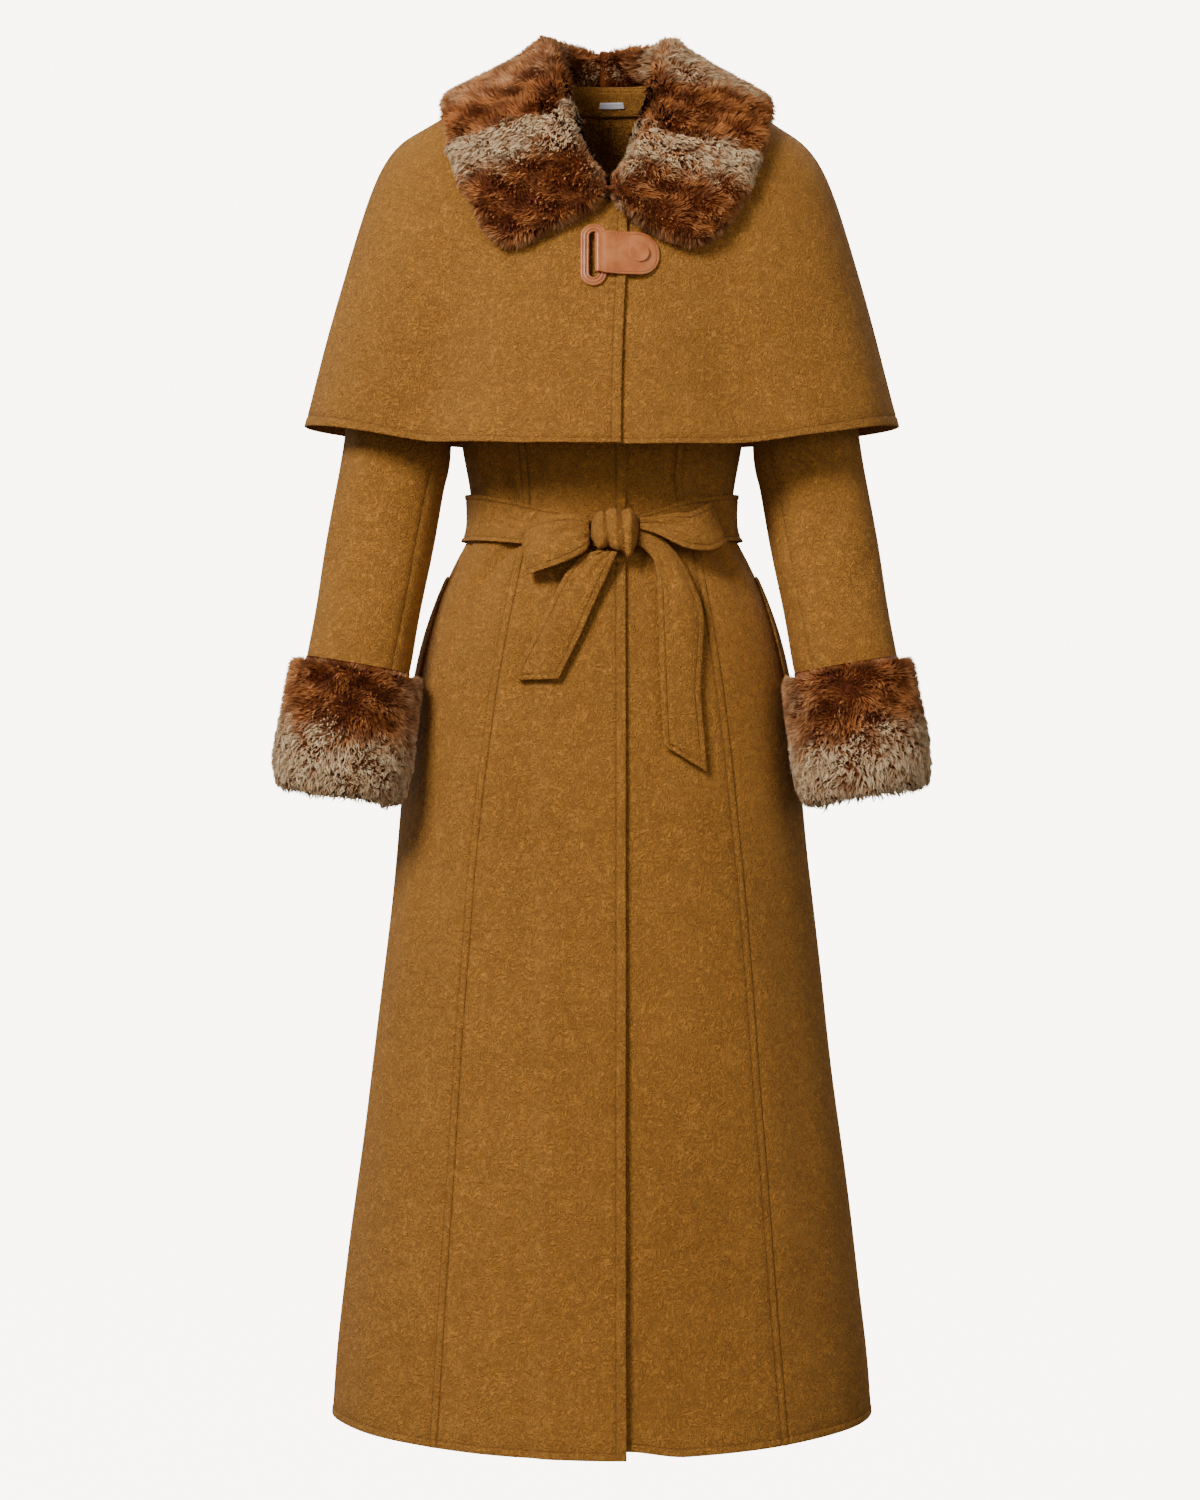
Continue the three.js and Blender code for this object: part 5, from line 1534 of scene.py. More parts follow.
@dataclass
class Clasp:
    """The leather ring, the strap through it and its snap.

    Args:
        leather: The leather's material.
        thread: The sewing's material.
        slot: Half the width of the ring's slot.
        straight: Half the length of the slot's straight sides.
        ring_wall: The ring's thickness.
        strap_z: The height of the strap's middle line.
        strap_to: Where its round end lies.
        strap_half: Half its height.
        strap_wall: Its thickness.
        snap_place: The snap's middle, as seen from the front.
        snap: The snap's radius.
        stitch: The length of the strap's stitches.
    """

    leather: Material
    thread: Material
    slot: float = 4.1
    straight: float = 17.2
    ring_wall: float = 2.6
    strap_z: float = -180.3
    strap_to: float = 50.0
    strap_half: float = 19.0
    strap_wall: float = 2.0
    snap_place: tuple[float, float] = (32.2, -179.3)
    snap: float = 9.2
    stitch: float = 2.9

    @property
    def over(self) -> float:
        """How far out the strap lies over the ring's bar."""
        return LAY_GAP + self.ring_wall + 0.7

    @property
    def low(self) -> float:
        """How far out the strap lies on the cape."""
        return LAY_GAP + 0.2

    @staticmethod
    def tilt() -> Matrix:
        """The turn that stands the ring square on the cape."""
        return Matrix.Rotation(-14 * RAD, 3, "X")

    @staticmethod
    def seat(x: float, z: float, out: float) -> tuple[Array, Array, Array, Array]:
        """A place over the cape.

        Args:
            x: Its distance to the wearer's left.
            z: Its height.
            out: How far out it lies.

        Returns:
            The point, with the outward, sideways and upward directions there.
        """
        point = on_cape(x, z, out)
        outward = unit(on_cape(x, z, out + 1) - point)
        side = unit(np.cross(np.array([0, 0, 1.0]), -outward))
        return point, outward, side, np.cross(side, -outward) * -1

    def build(self) -> None:
        """Builds the clasp's pieces."""
        self.ring()
        self.strap()
        self.cap()

    def ring(self) -> None:
        """Builds the ring, pressed into ridges that follow its outline."""
        point, outward, side, up = self.seat(*CLASP_CENTRE, LAY_GAP)
        around = np.linspace(0, 2 * np.pi, 97)[:, None]
        # Distance from the slot and height, round the ring's section.
        section = np.array([
            (0.0, 0.5), (0.0, 2.0), (0.35, 2.6), (1.0, 2.8), (1.7, 2.4), (2.1, 1.5), (2.5, 2.3), (3.4, 2.8),
            (4.4, 2.6), (5.1, 2.3), (5.4, 1.7), (5.8, 2.3), (6.4, 2.5), (7.2, 2.2), (7.7, 1.6), (7.9, 0.9),
            (7.7, 0.2), (6.8, 0.0), (4.0, 0.0), (0.7, 0.0), (0.0, 0.5),
        ])
        radius, height = self.slot + section[None, :, 0], section[None, :, 1]
        lift = self.straight * np.clip(np.sin(around) * 40, -1, 1)
        x = radius * np.cos(around)
        z = radius * np.sin(around) + lift
        points = point + x[..., None] * side + z[..., None] * up + height[..., None] * outward
        # Painted shade: the groove mark darkens the pressed lines between the ridges.
        groove = 0.8 * bell(section[:, 0] - 2.1, 0.35) + 0.6 * bell(section[:, 0] - 5.4, 0.3)
        groove = groove * (section[:, 1] > 1)
        sheet = Sheet(points, np.zeros_like(points), x, z, {"groove": groove})
        mesh = sheet.mesh("clasp_ring", close=True)
        Piece("clasp_ring", mesh, self.leather, "leather", ("clasp_ring",)).place()

    def half_height(self, x: Array) -> Array:
        """Half the strap's height at a distance along it."""
        tip = np.sqrt(1 - np.clip((x - 31) / (self.strap_to - 31), 0, 1) ** 2.2)
        return mix(self.strap_half - 1.4, self.strap_half, smooth(-2.6, 6, x)) * tip

    def strap(self) -> None:
        """Builds the strap, from the slot over the ring's bar onto the cape, and its stitches."""
        over, low = self.over, self.low
        run = np.array([
            (-5.5, 0.4), (-5.5, 2.2), (-5.2, 3.6), (-3.4, 4.9), (0, over), (5, over), (10, over - 1),
            (14.5, over - 2.4), (20, low + 0.1),
            *((at, low) for at in (26, 31, 38, 43, 46.5, 48.6, 49.6, 49.97)),
        ])
        path = table_row(run, np.linspace(0, len(run) - 1, 110))
        x, out = path[:, 0:1], path[:, 1:2]
        half = np.maximum(self.half_height(x), 0.05)
        above = np.array([0.3, 0.6, 0.8, 0.84, 0.88, 0.93, 0.97, 1])
        t = np.array([*-above[::-1], 0, *above])[None]
        inside = np.minimum((1 - np.abs(t)) * half, np.maximum(self.strap_to - x, 0) * 0.8)
        # Painted shade: the groove mark is full where the strap goes down into the slot, which darkens it
        # there; beside that it marks the stitched line.
        groove = np.maximum(0.5 * bell(inside - 1.9, 0.5) * smooth(-1, 6, x), 1 - smooth(-5.5, -5.3, x))
        edge = -0.45 * np.clip(1 - inside / 0.9, 0, 1) ** 2
        ring = np.hypot(x - self.snap_place[0], t * half + self.strap_z - self.snap_place[1])
        dish = -0.35 * bell(ring - self.snap - 0.6, 0.8)
        lift = out + self.strap_wall / 2 + edge - 0.3 * groove * smooth(-1, 6, x) + dish
        points = on_cape(x, self.strap_z + half * t, lift)
        normal = np.zeros_like(points) + np.array([0, -1.0, 0])
        name = "clasp_strap"
        mesh = Sheet(points, normal, x, half * t, {"groove": groove}).mesh(name)
        Piece(name, mesh, self.leather, "leather", (name,), self.strap_wall, centred=True).place()
        self.stitches()

    def stitches(self) -> None:
        """Builds the strap's sewing as a row of short threads."""
        xs = np.linspace(6, self.strap_to - 2.0, 400)
        half = np.maximum(self.half_height(xs + 1.4) - 1.9, 0.0)
        top = np.stack([xs, self.strap_z + half], -1)
        line = np.concatenate([top, top[::-1] * np.array([1, -1]) + np.array([0, 2 * self.strap_z])])
        length = lengths(line)
        count = int(length[-1] / self.stitch)
        middles, fronts = ((np.arange(count) + at) * self.stitch for at in (0.5, 0.8))
        centres = np.stack([np.interp(middles, length, column) for column in line.T], -1)
        ahead = np.stack([np.interp(fronts, length, column) for column in line.T], -1)
        over, low = self.over, self.low
        levels = [over, over - 1, over - 2.4, low + 0.1, low]
        heights = np.interp(centres[:, 0], [5, 10, 14.5, 20, 60], levels)
        bm = bmesh.new()
        for (x, z), (x2, z2), out in zip(centres, ahead, heights):
            point, outward, side, up = self.seat(x, z, out + self.strap_wall + 0.02)
            made = bmesh.ops.create_icosphere(bm, subdivisions=1, radius=0.42)["verts"]
            along = unit(side * (x2 - x) + up * (z2 - z))
            for vert in made:
                across = np.array(vert.co)
                vert.co = Vector((point + across + along * np.dot(across, along) * 1.9) * MM)
        for face in bm.faces:
            face.smooth = True
        Piece("clasp_stitches", finished(bm, "clasp_stitches"), self.thread, "leather").place()

    def cap(self) -> None:
        """Builds the leather-covered cap of the snap."""
        point, outward, side, up = self.seat(*self.snap_place, self.low + self.strap_wall + 0.1)
        bm = bmesh.new()
        bmesh.ops.create_circle(bm, cap_ends=True, segments=64, radius=self.snap)
        raised = bmesh.ops.extrude_face_region(bm, geom=bm.faces[:])["geom"]
        top = [v for v in raised if isinstance(v, bmesh.types.BMVert)]
        bmesh.ops.translate(bm, verts=top, vec=(0, 0, 0.9))
        rim = [e for e in bm.edges if all(v in top for v in e.verts)]
        bmesh.ops.bevel(bm, geom=rim, offset=0.6, segments=5, profile=0.5, affect="EDGES", material=-1)
        for face in bm.faces:
            face.smooth = len(face.verts) == 4
        for vert in bm.verts:
            x, z, out = vert.co
            vert.co = Vector((point + side * x + up * z + outward * out) * MM)
        bmesh.ops.recalc_face_normals(bm, faces=bm.faces)
        Piece("clasp_snap", finished(bm, "clasp_snap"), self.leather, "leather", ("clasp_snap",)).place()


@dataclass
class NeckFinish:
    """The facing inside the back of the neck, and its bare label.

    Args:
        wool: The cloth's material.
        label: The label's material.
        facing_wall: The facing's thickness.
        facing_near: Its distance from the body's mid-surface.
        label_wall: The label's thickness.
        across: Millimetres to the whole of a strip's width.
        down: Millimetres to a ring.
    """

    wool: Material
    label: Material
    facing_wall: float = 1.6
    facing_near: float = CLOTH / 2 + LAY_GAP
    label_wall: float = 0.6
    across: float = 190.0
    down: float = 30.0

    def build(self) -> None:
        """Builds both pieces."""
        near = self.facing_near + self.facing_wall + self.label_wall
        label, _ = self.strip(
            "blank_label", (185.5, 169.3), (0.5, 0.8), (30, 10), near, self.label_wall,
            self.label, "label", 0.3,
        )
        facing, sheet = self.strip(
            "back_neck_facing", (100, 260), (0.08, 1.15), (80, 14), self.facing_near, self.facing_wall,
            self.wool, "wool", 1.2,
        )
        declare(sheet)

    def strip(
        self, name: str, angles: tuple[float, float], rings: tuple[float, float], cells: tuple[int, int],
        near: float, wall: float, finish: Material, slot: str, roll: float,
    ) -> tuple[Object, Sheet]:
        """Builds a strip that lies inside the neck.

        Args:
            name: The piece's name.
            angles: Where it starts and ends round the neck.
            rings: Its upper and lower ring.
            cells: How many cells it has across and down.
            near: Its distance from the body's mid-surface.
            wall: Its thickness.
            finish: Its material.
            slot: The material's slot, which ends the object's name.
            roll: How wide its edges are rounded.

        Returns:
            The piece and its grid.
        """
        t = np.linspace(0, 1, cells[0] + 1)[None, :]
        s = np.linspace(0, 1, cells[1] + 1)[:, None]
        angle, w = np.broadcast_arrays(mix(*angles, t), mix(*rings, s))
        high = self.down * (rings[1] - rings[0])
        edge = np.minimum(np.minimum(s, 1 - s) * high, np.minimum(t, 1 - t) * self.across)
        deep = near + wall - 0.3 * np.clip(1 - edge / roll, 0, 1) ** 2
        points = COAT.out(angle, w, -deep)
        normal = -COAT.normal(angle, w, COAT.at)
        groove = bell(edge - 3.2, 0.8) * 0.7
        sheet = Sheet(points, normal, t * self.across, s * self.down, {"groove": groove})
        return Piece(name, sheet.mesh(name), finish, slot, (name,), wall).place(), sheet


@dataclass
class Skin:
    """The surface that a pelt's hairs grow from.

    Args:
        points: Rows and columns of points, in millimetres.
        hairy: How densely each point carries hairs, from 0 to 1.
        flow: The way that the hairs lean.
        pelt: The tone at each point, 0 for brown and 1 for cream.
        curl: How curly the pile is at each point.
    """

    points: Array
    hairy: Array
    flow: Array
    pelt: Array
    curl: Array

    def normals(self) -> Array:
        """The outward normals, for rows that run along and columns that run round."""
        along = np.gradient(self.points, axis=0)
        ring = self.points[:, :-1]
        over = np.roll(ring, -1, axis=1) - np.roll(ring, 1, axis=1)
        over = np.concatenate([over, over[:, :1]], axis=1)
        made = unit(np.cross(along, over))
        centre = self.points[:, :-1].mean(1, keepdims=True)
        sign = np.sign((made * (self.points - centre)).sum())
        return made * sign


@dataclass(frozen=True)
class Pile:
    """The hairs of one pelt.

    Args:
        straight: How many plain hairs.
        curled: How many locks with a bend.
        root: How deep below the surface they start.
        reach: How far above it they end.
        width: Their width at the root.
        clump: Size of the tufts that they gather in.
        gather: How strongly they gather.
        seed: Start of the random numbers.
    """

    straight: int = 30500
    curled: int = 4300
    root: float = 8.0
    reach: float = 2.0
    width: float = 0.9
    clump: float = 6.5
    gather: float = 0.16
    seed: int = 5

    def spots(self, skin: Skin, count: int, rng: np.random.Generator, curly: bool) -> dict[str, Array]:
        """Random places on the skin.

        Args:
            skin: The skin.
            count: How many places.
            rng: The random numbers.
            curly: Whether there are more of them where the pile is curly.

        Returns:
            The skin's values at the places, by name.
        """
        p = skin.points
        area = np.linalg.norm(np.cross(p[1:, :-1] - p[:-1, :-1], p[:-1, 1:] - p[:-1, :-1]), axis=-1)
        share = skin.hairy * (0.1 + skin.curl) if curly else skin.hairy
        weight = (area * (share[:-1, :-1] + share[1:, 1:]) / 2).ravel()
        cell = np.searchsorted(np.cumsum(weight) / weight.sum(), rng.random(count)).clip(0, weight.size - 1)
        r, c = np.unravel_index(cell, area.shape)
        u, v = rng.random(count)[:, None], rng.random(count)[:, None]

        def pick(grid: Array) -> Array:
            """The grid's value at the places."""
            grid = grid if grid.ndim == 3 else grid[..., None]
            top = mix(grid[r, c], grid[r, c + 1], v)
            return mix(top, mix(grid[r + 1, c], grid[r + 1, c + 1], v), u)

        normal = skin.normals()
        return {
            "point": pick(p), "normal": unit(pick(normal)), "flow": unit(pick(skin.flow)),
            "pelt": pick(skin.pelt)[:, 0], "curl": pick(skin.curl)[:, 0],
        }

    def tufts(self, point: Array) -> tuple[Array, Array]:
        """The tufts that the hairs gather in: the nearest of one spot in each cell of space.

        Args:
            point: Where each hair starts.

        Returns:
            The centre of each hair's tuft, and a number from 0 to 1 that its hairs share.
        """
        # Fixed numbers that no two cells share, so that each cell's spot looks random.
        scatter = np.array([[12.9898, 26.651, 39.346], [78.233, 49.77, 11.135], [37.719, 93.989, 83.155]])
        cell = np.floor(point / self.clump).astype(np.int64)
        best = np.full(len(point), np.inf)
        centre, tone = point.copy(), np.zeros(len(point))
        for beside in itertools.product((-1, 0, 1), repeat=3):
            near = cell + np.array(beside)
            mixed = np.sin(near @ scatter) * 43758.5453
            jitter = mixed - np.floor(mixed)
            spot = (near + jitter) * self.clump
            gap = ((spot - point) ** 2).sum(1)
            closer = gap < best
            best = np.where(closer, gap, best)
            centre = np.where(closer[:, None], spot, centre)
            tone = np.where(closer, jitter[:, 0], tone)
        return centre, tone

    def hairs(self, skin: Skin) -> list[Array]:
        """The hairs as arrays.

        Returns:
            Points, triangles, each point's tone, its height on its hair times its painted light, and the way
            that it faces.
        """
        rng = np.random.default_rng(self.seed)
        parts = [self.grow(self.spots(skin, count, rng, bent), rng, bent)
                 for count, bent in ((self.straight, False), (self.curled, True))]
        parts[1][1][:] += len(parts[0][0])
        return [np.concatenate(pair) for pair in zip(*parts)]

    def grow(self, at: dict[str, Array], rng: np.random.Generator, bent: bool) -> list[Array]:
        """Hairs at the given places: a spike each, or a spike with a bend in it.

        Args:
            at: The skin's values at the places.
            rng: The random numbers.
            bent: Whether each has a bend.

        Returns:
            What hairs gives.
        """
        count = len(at["point"])
        point, normal, curl = at["point"], at["normal"], at["curl"][:, None]
        centre, tone = self.tufts(point)
        pull = flat_on(centre - point, normal)
        stray = flat_on(rng.normal(size=(count, 3)), normal)
        waves = np.array([(0.11, 0.07, 0.16), (0.06, 0.13, -0.1), (-0.09, 0.12, 0.07)])
        sway = flat_on(np.sin(point @ waves.T), normal)
        reach = self.reach * (0.4 + 0.9 * rng.random((count, 1))) + (0.6 + 1.6 * curl) * (tone[:, None] - 0.5)
        root = point - normal * self.root + stray * 0.3
        gather = self.gather + 0.26 * curl
        lean = at["flow"] * (3.6 + 3.0 * bent) + pull * gather + sway * 3.2 + stray * 0.8
        tip = point + normal * reach + lean
        # Painted light and shade: each hair's colour darkens in slow patches and with its tuft, standing in
        # for the shade between tufts; it goes into the depth mark.
        patch = np.sin(point @ np.array([0.13, 0.05, 0.09]) + 1)
        patch = patch * np.sin(point @ np.array([-0.07, 0.1, 0.17]))
        lit = smooth(-0.7, 0.75, patch + 0.9 * (tone - 0.5) + 0.3 * rng.normal(size=count))
        lit = mix(0.54 + 0.3 * at["pelt"], 1.04, lit)
        direction = unit(tip - root)
        facing = unit(normal + 0.5 * direction + 0.16 * stray - 0.045 * pull)
        aside = unit(np.cross(direction, stray + normal * 0.01))
        other = np.cross(direction, aside)
        wide = self.width * (0.7 + 0.6 * rng.random((count, 1))) * (1.25 if bent else 1.0)
        turns = [aside * math.cos(turn) + other * math.sin(turn) for turn in (0.0, 2.094, 4.189)]
        change = rng.normal(size=count) * 0.16 + (tone - 0.5) * 0.6 + 0.12 * bent
        mixed = np.clip(at["pelt"] * 1.3 + 0.08, 0, 1)
        mixed += 4.0 * at["pelt"] * (1 - at["pelt"]) * np.clip(at["curl"] * 1.6, 0, 1)
        pelt = np.clip(at["pelt"] + change * mixed, 0, 1)
        levels = [[root + t * wide for t in turns]]
        heights = [0.0]
        if bent:
            middle = mix(root, tip, 0.66) + normal * 1.2 + aside * (1.0 + 2.0 * curl) * np.sign(stray[:, :1])
            levels.append([middle + t * wide * 0.62 for t in turns])
            heights.append(0.66)
        rows = [p for level in levels for p in level] + [tip]
        size = len(rows)
        points = np.stack(rows, 1).reshape(-1, 3)
        depth = np.array([h for h in heights for _ in range(3)] + [1.0])
        faces = [(0, 2, 1)]
        for level in range(len(levels) - 1):
            for i in range(3):
                a, b = level * 3 + i, level * 3 + (i + 1) % 3
                faces += [(a, b, b + 3), (a, b + 3, a + 3)]
        top = (len(levels) - 1) * 3
        faces += [(top + i, top + (i + 1) % 3, size - 1) for i in range(3)]
        faces = (np.arange(count)[:, None, None] * size + np.array(faces)[None]).reshape(-1, 3)
        return [points, faces, np.repeat(pelt, size), np.tile(depth, count) * np.repeat(lit, size),
                np.repeat(facing, size, axis=0)]

    def mesh(self, name: str, skin: Skin, sink: float) -> Mesh:
        """The skin, sunk below the tips, with its hairs.

        Args:
            name: The mesh's name.
            skin: The surface.
            sink: How far the skin lies below the hairs' tips.

        Returns:
            One mesh.
        """
        under = skin.points - skin.normals() * (sink * np.clip(skin.hairy * 1.4, 0, 1))[..., None]
        size = skin.hairy.shape
        flat = np.zeros(size)
        # The skin takes close to the root colour, partly the pelt's roots and partly painted shade between
        # the hairs.
        sheet = Sheet(under, np.zeros_like(under), flat, flat, {"pelt": skin.pelt, "depth": flat + 0.12})
        base = sheet.mesh(name, close=True)
        points, faces, pelt, depth, facing = self.hairs(skin)
        hair = bpy.data.meshes.new(f"{name}_hairs")
        hair.from_pydata(points * MM, [], faces.tolist())
        for key, values in (("pelt", pelt), ("depth", depth)):
            hair.attributes.new(key, "FLOAT", "POINT").data.foreach_set("value", values.astype(np.float32))
        lie = hair.attributes.new("lie", "FLOAT_VECTOR", "POINT")
        lie.data.foreach_set("vector", facing.astype(np.float32).ravel())
        bm = bmesh.new()
        bm.from_mesh(base)
        bm.from_mesh(hair)
        bpy.data.meshes.remove(base)
        bpy.data.meshes.remove(hair)
        return finished(bm, name)


def round_loop(points: Array, per: int) -> Array:
    """Closed loops through their corner points.

    Args:
        points: A row of corners for each loop.
        per: How many steps it is from a corner to the next.

    Returns:
        A row of points for each loop, whose last point is its first again.
    """
    count = points.shape[1]
    made = []
    for i in range(count):
        before, a, b, after = (points[:, (i + k) % count] for k in (-1, 0, 1, 2))
        made += [curve(j / per, a, b, (b - before) / 2, (after - a) / 2) for j in range(per)]
    return np.stack([*made, made[0]], axis=1)


@dataclass
class FurCollar:
    """The fur collar: two pelts that meet at the centre back.

    Args:
        fur: The fur's material.
        roll: Radius of the roll at the neck.
        fall: Thickness of the fall.
        gap: Its distance from the cape.
        rows: How many sections each half has.
        seam_rows: How many of them keep to their own side of the centre back.
        band: Width of the curly cream band, to where it starts to fade.
        fade: The width in which it fades.
    """

    fur: Material
    roll: float = 10.0
    fall: float = 17.0
    gap: float = WELT_HEIGHT + 2.2
    rows: int = 120
    seam_rows: int = 8
    band: float = 20.0
    fade: float = 34.0

    def outline(self, side: Side) -> Array:
        """The collar's sections, from the front to the centre back."""
        row = table_row(COLLAR_ROWS, np.linspace(0, len(COLLAR_ROWS) - 1, self.rows))
        angle = row[:, 0] * side.value
        reach = row[:, 1] if side is Side.RIGHT else row[:, 2]
        stand, lean = row[:, 3], row[:, 4]
        up = np.array([0, 0, 1.0])
        neck = CAPE.form(angle, np.zeros_like(angle))
        inward = unit(np.stack([6 - neck[:, 0], -neck[:, 1] * 0.6 - 20 * np.cos(angle * RAD), 0 * angle], -1))
        front = (1 - smooth(0, 12, stand))[:, None]

        def lie(w: Array | float, out: Array | float) -> Array:
            """A point over the cape."""
            w = w * np.ones_like(angle)
            below = CAPE.form(angle, w)[:, 0]
            return CAPE.out(angle, w, CLOTH / 2 + self.gap + across_lift(below) + out)

        normal = CAPE.normal(angle, np.zeros_like(angle), CAPE.form)
        away = CLOTH / 2 + across_lift(neck[:, 0])[:, None] + self.roll * mix(0.35, 1.0, front)
        fold = neck + up * stand[:, None] + inward * lean[:, None] + normal * away

        def bend(across: float, high: float) -> Array:
            """A point of the roll."""
            return fold + inward * across * self.roll + up * high * self.roll

        roll = ((0.75, -0.5), (1, -0.05), (0.72, 0.68), (0, 1), (-0.62, 0.85))
        corners = [lie(0.04, 0.3), *(bend(across, high) for across, high in roll)]
        start = bend(-0.9, 0.45)
        for t in (0.3, 0.5, 0.7, 0.86):
            corners.append(mix(lie(reach * t, self.fall), start, (1 - t) ** 3 * (1 - front * 0.5)))
        edge = ((0.965, 0.78), (1.0, 0.42), (0.975, 0.08), (0.86, 0.0), (0.6, 0.0), (0.3, 0.0))
        corners += [lie(reach * t, self.fall * high) for t, high in edge]
        loops = round_loop(np.stack(corners, axis=1), 4)
        left = np.arange(self.rows)[::-1][:, None]
        beside = np.maximum(loops[..., 0] * side.value, np.where(left < self.seam_rows, 1.2 * left, -np.inf))
        beside[-1] = 0
        loops[..., 0] = beside * side.value
        high = smooth(-12, 12, loops[..., 2] - neck[:, None, 2])
        loops[..., 2] -= 4 * bell(loops[..., 0], 16) * high * smooth(0, 30, loops[..., 1])
        return loops

    def tone(self, points: Array, place: Array, side: Side) -> tuple[Array, Array]:
        """The pelt's colouring, from where the bands lie in front.

        Args:
            points: The collar's points.
            place: How far round its section each lies, in corners.
            side: The side of the wearer.

        Returns:
            The tone and the curl at each point.
        """
        x, y, z = np.moveaxis(points, -1, 0)
        wobble = 3 * np.sin(x * 0.11 + z * 0.05) + 2.5 * np.sin(x * 0.23 - z * 0.17 + 1.0)
        if side is Side.RIGHT:
            join = mix(-71.5, -38.6, np.clip((x + 131.7) / 91.7, 0, 1.1))
            strength = mix(0.95, 0.7, smooth(-110, -45, x))
            edge = -41 - 0.462 * (z + 2) - x
            streak = 0.2 * smooth(30, 44, z - join)
        else:
            join = mix(-58.6, -78.0, np.clip((x - 36) / 105, 0, 1))
            strength = mix(0.52, 0.85, smooth(60, 135, x))
            edge = x - 56 - 0.386 * (z - 1.8)
            streak = 0.6 * smooth(48, 62, z - join) * smooth(40, 62, x)
        below = join - z + wobble
        cream = smooth(-2, 3, below) * (1 - smooth(self.band, self.band + self.fade, below))
        fore = smooth(0, -30, y)
        inner = (1 - smooth(10, 24, edge)) * smooth(self.band - 8, self.band + 12, below)
        rim = 0.32 * np.maximum(bell(place - 11, 0.9), inner)
        within = (1 - smooth(2.4, 3.4, place)) * (1 - fore)
        pale = 0.55 * bell(np.abs(x) - 46, 13) * within
        tufts = 0.9 * bell(x, 17) * bell(place - 0.35, 0.45) * within
        tone = 0.03 + fore * (strength * cream + rim) + streak * smooth(20, -10, y) + pale + tufts
        return np.clip(tone, 0, 0.97), np.clip(cream * fore + 0.5 * streak + 0.4 * tufts, 0, 1)

    def build(self) -> None:
        """Builds both pelts."""
        for side in Side:
            points = self.outline(side)
            place = np.linspace(0, 16, points.shape[1])[None, :] * np.ones((self.rows, 1))
            hairy = 1 - smooth(12.2, 13.2, place) * (1 - smooth(15.4, 15.9, place))
            parting = 1 - smooth(0.3, 4.0, np.abs(points[..., 0]))
            hairy = hairy * (1 - parting * smooth(20, 40, points[..., 1]))
            flow = np.gradient(points, axis=1) + 0.35 * np.array([0, 0, -1.0])
            tone, curl = self.tone(points, place, side)
            skin = Skin(points, hairy, unit(flow), tone, curl)
            name = f"fur_collar_{side.word}"
            mesh = Pile(seed=11 if side is Side.RIGHT else 12).mesh(name, skin, 4.5)
            Piece(name, mesh, self.fur, "fur", (name,)).place()


@dataclass
class FurCuffs:
    """A fur cuff round the end of each sleeve.

    Args:
        fur: The fur's material.
        thick: Thickness of the pile.
        around: How many sections it has.
    """

    fur: Material
    thick: float = 13.7
    around: int = 96

    def outline(self, side: Side) -> Array:
        """The cuff's sections round the sleeve."""
        last = float(len(SLEEVE_RINGS))
        top = last - 2.6
        turn = np.linspace(0, 360, self.around + 1)
        skin = CLOTH / 2 + SEAM_GAP

        def at(along: float, out: float) -> Array:
            """A point over the sleeve's end."""
            run = mix(top, last + 0.04, along)
            held = np.full_like(turn, min(last, run))
            wall = Sleeves.plain(turn, held, side)
            ends = [Sleeves.plain(turn, np.full_like(turn, end), side) for end in (last, last - 1)]
            below = (ends[0] - ends[1]) * max(0.0, run - last)
            return wall + below + Sleeves.normal(turn, held, side) * out

        # Share of the cuff's length, and of its thickness.
        profile = (
            (0.02, 0.12), (0.0, 0.5), (0.05, 0.84), (0.17, 1.0), (0.45, 1.08), (0.75, 1.1), (0.9, 0.96),
            (0.98, 0.68), (1.0, 0.3), (0.985, 0.05), (0.985, 0), (0.606, 0), (0.038, 0), (0.02, 0),
        )
        corners = [at(along, skin + self.thick * out) for along, out in profile]
        return round_loop(np.stack(corners, axis=1), 3)

    def build(self) -> None:
        """Builds both cuffs."""
        for side in Side:
            points = self.outline(side)
            place = np.linspace(0, 14, points.shape[1])[None, :] * np.ones((self.around + 1, 1))
            hairy = 1 - smooth(9.2, 10, place) * (1 - smooth(13.3, 14, place))
            flow = np.gradient(points, axis=1) * smooth(0.5, 2, place)[..., None] + np.array([0, 0, -0.4])
            z = points[..., 2]
            turn = np.linspace(0, 360, self.around + 1)[:, None] * RAD
            middle = z.mean(1, keepdims=True)
            centre = points[..., 0].mean()
            beside = (points[..., 0] - centre) * side.value / 66
            wobble = 4 * np.sin(turn * 3 + 1) + 3 * np.sin(turn * 7 + 2) - 14 * smooth(0.5, 1, beside)
            light = 1 - smooth(-16, 14, z - middle + 6 + wobble)
            parting = 0.5 * bell((turn - 1.75) * 55 + 0.15 * (z - middle), 3.5) if side is Side.LEFT else 0
            rim = 0.3 * smooth(0.55, 1, np.abs(beside)) * (1 - light) + 0.2 * (1 - smooth(0.6, 2, place))
            tone = np.clip(0.04 + 0.86 * light + rim - parting, 0, 0.95)
            skin = Skin(points, hairy, unit(flow), tone, np.clip(light, 0, 1))
            name = f"fur_cuff_{side.word}"
            pile = Pile(straight=27500, curled=4600, seed=21 if side is Side.RIGHT else 22)
            Piece(name, pile.mesh(name, skin, 4.5), self.fur, "fur", (name,)).place()


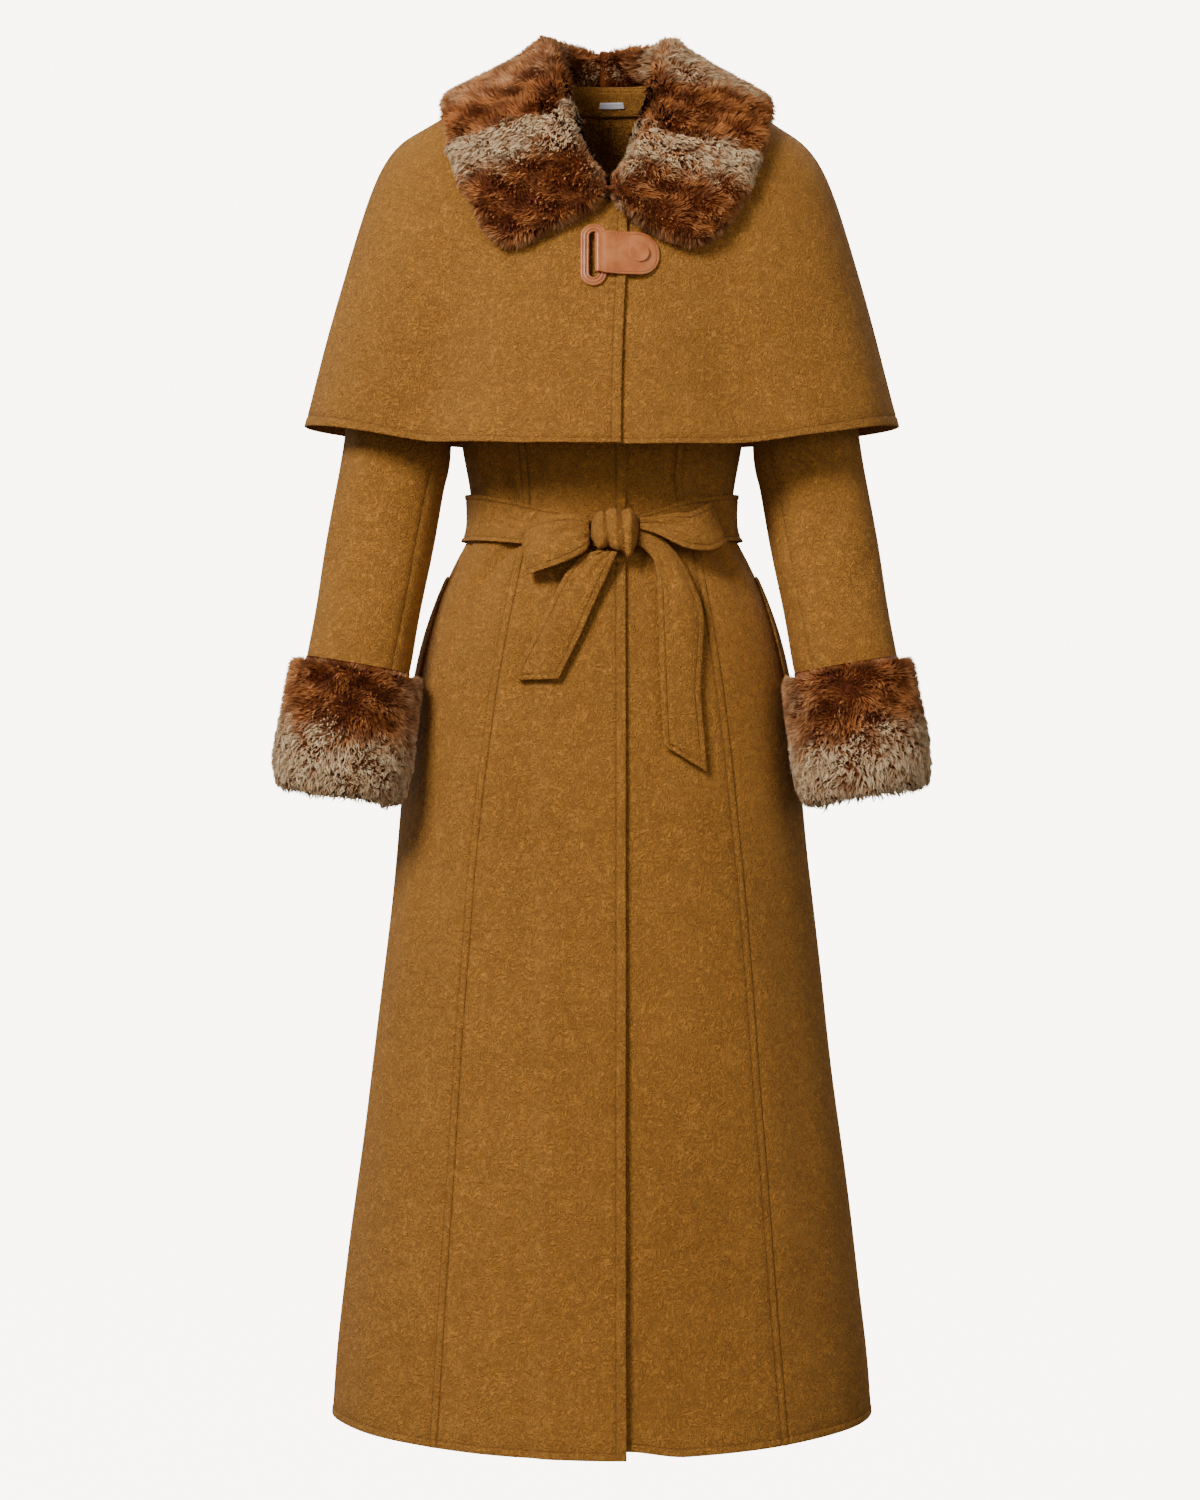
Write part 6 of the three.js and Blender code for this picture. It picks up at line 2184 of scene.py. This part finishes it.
@dataclass(frozen=True)
class Studio:
    """The camera, the lights and the paper.

    Args:
        distance: The camera's distance from the coat's middle, in metres.
        height: The camera's height.
        aside: How far the picture's middle lies from the coat's.
        half_view: Half the height that the picture takes in.
        floor: The height of the paper.
    """

    distance: float = 3.4
    height: float = -0.618
    aside: float = -0.0018
    half_view: float = 0.69
    floor: float = -1.62

    def build(self) -> None:
        """Builds the studio."""
        self.camera()
        self.paper()
        self.light("key", (-1.9, -3.1, 1.7), (0, 0, -0.4), 1.3, 190)
        self.light("fill", (2.4, -3.4, 0.3), (0, 0, -0.6), 2.4, 34)
        self.light("low", (-0.8, -3.8, -0.9), (0, 0, -0.8), 2.0, 12)
        self.light("top", (-0.3, 0.9, 2.2), (0, 0, -0.2), 1.6, 20)
        self.light("behind", (1.2, 3.3, 2.3), (0, 0, -0.4), 1.8, 80)
        self.light("behind_low", (-2.8, 2.9, -0.2), (0, 0, -0.8), 1.8, 40)
        world = bpy.data.worlds.new("room")
        world.use_nodes = True
        room = world.node_tree.nodes["Background"].inputs
        room["Color"].default_value = paint((250, 248, 244))
        room["Strength"].default_value = 0.17
        bpy.context.scene.world = world

    def camera(self) -> None:
        """Sets the camera level in front of the coat."""
        data = bpy.data.cameras.new("camera")
        data.sensor_fit = "VERTICAL"
        data.sensor_height = 36.0
        data.lens = 36.0 * self.distance / (2 * self.half_view)
        made = in_scene("camera", data)
        made.location = (self.aside, -self.distance, self.height)
        made.rotation_euler = (math.pi / 2, 0, 0)
        bpy.context.scene.camera = made

    def paper(self) -> None:
        """Lays a round sheet of pale paper below the coat, which curves up into a wall all round."""
        flat, round_up, high = 6.0, 1.6, 7.0
        turns = [k * math.pi / 24 for k in range(1, 13)]
        rise = [(flat + round_up * math.sin(a), round_up * (1 - math.cos(a))) for a in turns]
        profile = [(0.0, 0.0), (flat, 0.0), *rise, (flat + round_up, high)]
        bm = bmesh.new()
        verts = [bm.verts.new((across, 0.0, up + self.floor)) for across, up in profile]
        edges = [bm.edges.new(pair) for pair in zip(verts, verts[1:])]
        bmesh.ops.spin(
            bm, geom=verts + edges, cent=(0, 0, 0), axis=(0, 0, 1), angle=math.tau, steps=64, use_merge=True
        )
        bmesh.ops.remove_doubles(bm, verts=bm.verts, dist=0.0001)
        bmesh.ops.recalc_face_normals(bm, faces=bm.faces)
        for face in bm.faces:
            face.smooth = True
        mesh = finished(bm, "paper")
        mesh.materials.append(BackdropFinish().material())
        made = in_scene("paper", mesh)
        made.visible_diffuse = False
        made.visible_glossy = False
        made.visible_shadow = False

    @staticmethod
    def light(name: str, place: Point, at: Point, size: float, power: float) -> None:
        """Adds a square soft light.

        Args:
            name: Its name.
            place: Where it stands, in metres.
            at: The point that it faces.
            size: The length of its sides.
            power: Its power in watts.
        """
        data = bpy.data.lights.new(name, "AREA")
        data.size = size
        data.energy = power
        made = in_scene(name, data)
        made.location = place
        made.rotation_euler = (Vector(at) - Vector(place)).to_track_quat("-Z", "Y").to_euler()


def main() -> None:
    """Builds the studio and the coat."""
    logging.basicConfig(level=logging.INFO, format="%(name)s: %(message)s")
    Studio().build()
    wool = WoolFinish().material()
    fur = FurFinish().material()
    leather = LeatherFinish()
    CoatBody(wool).build()
    Sleeves(wool).build()
    Cape(wool).build()
    Belt(wool).build()
    Clasp(leather.material(), LeatherFinish("thread", leather.thread, leather.face).material()).build()
    NeckFinish(wool, LabelFinish().material()).build()
    FurCollar(fur).build()
    FurCuffs(fur).build()


if __name__ == "__main__":
    main()
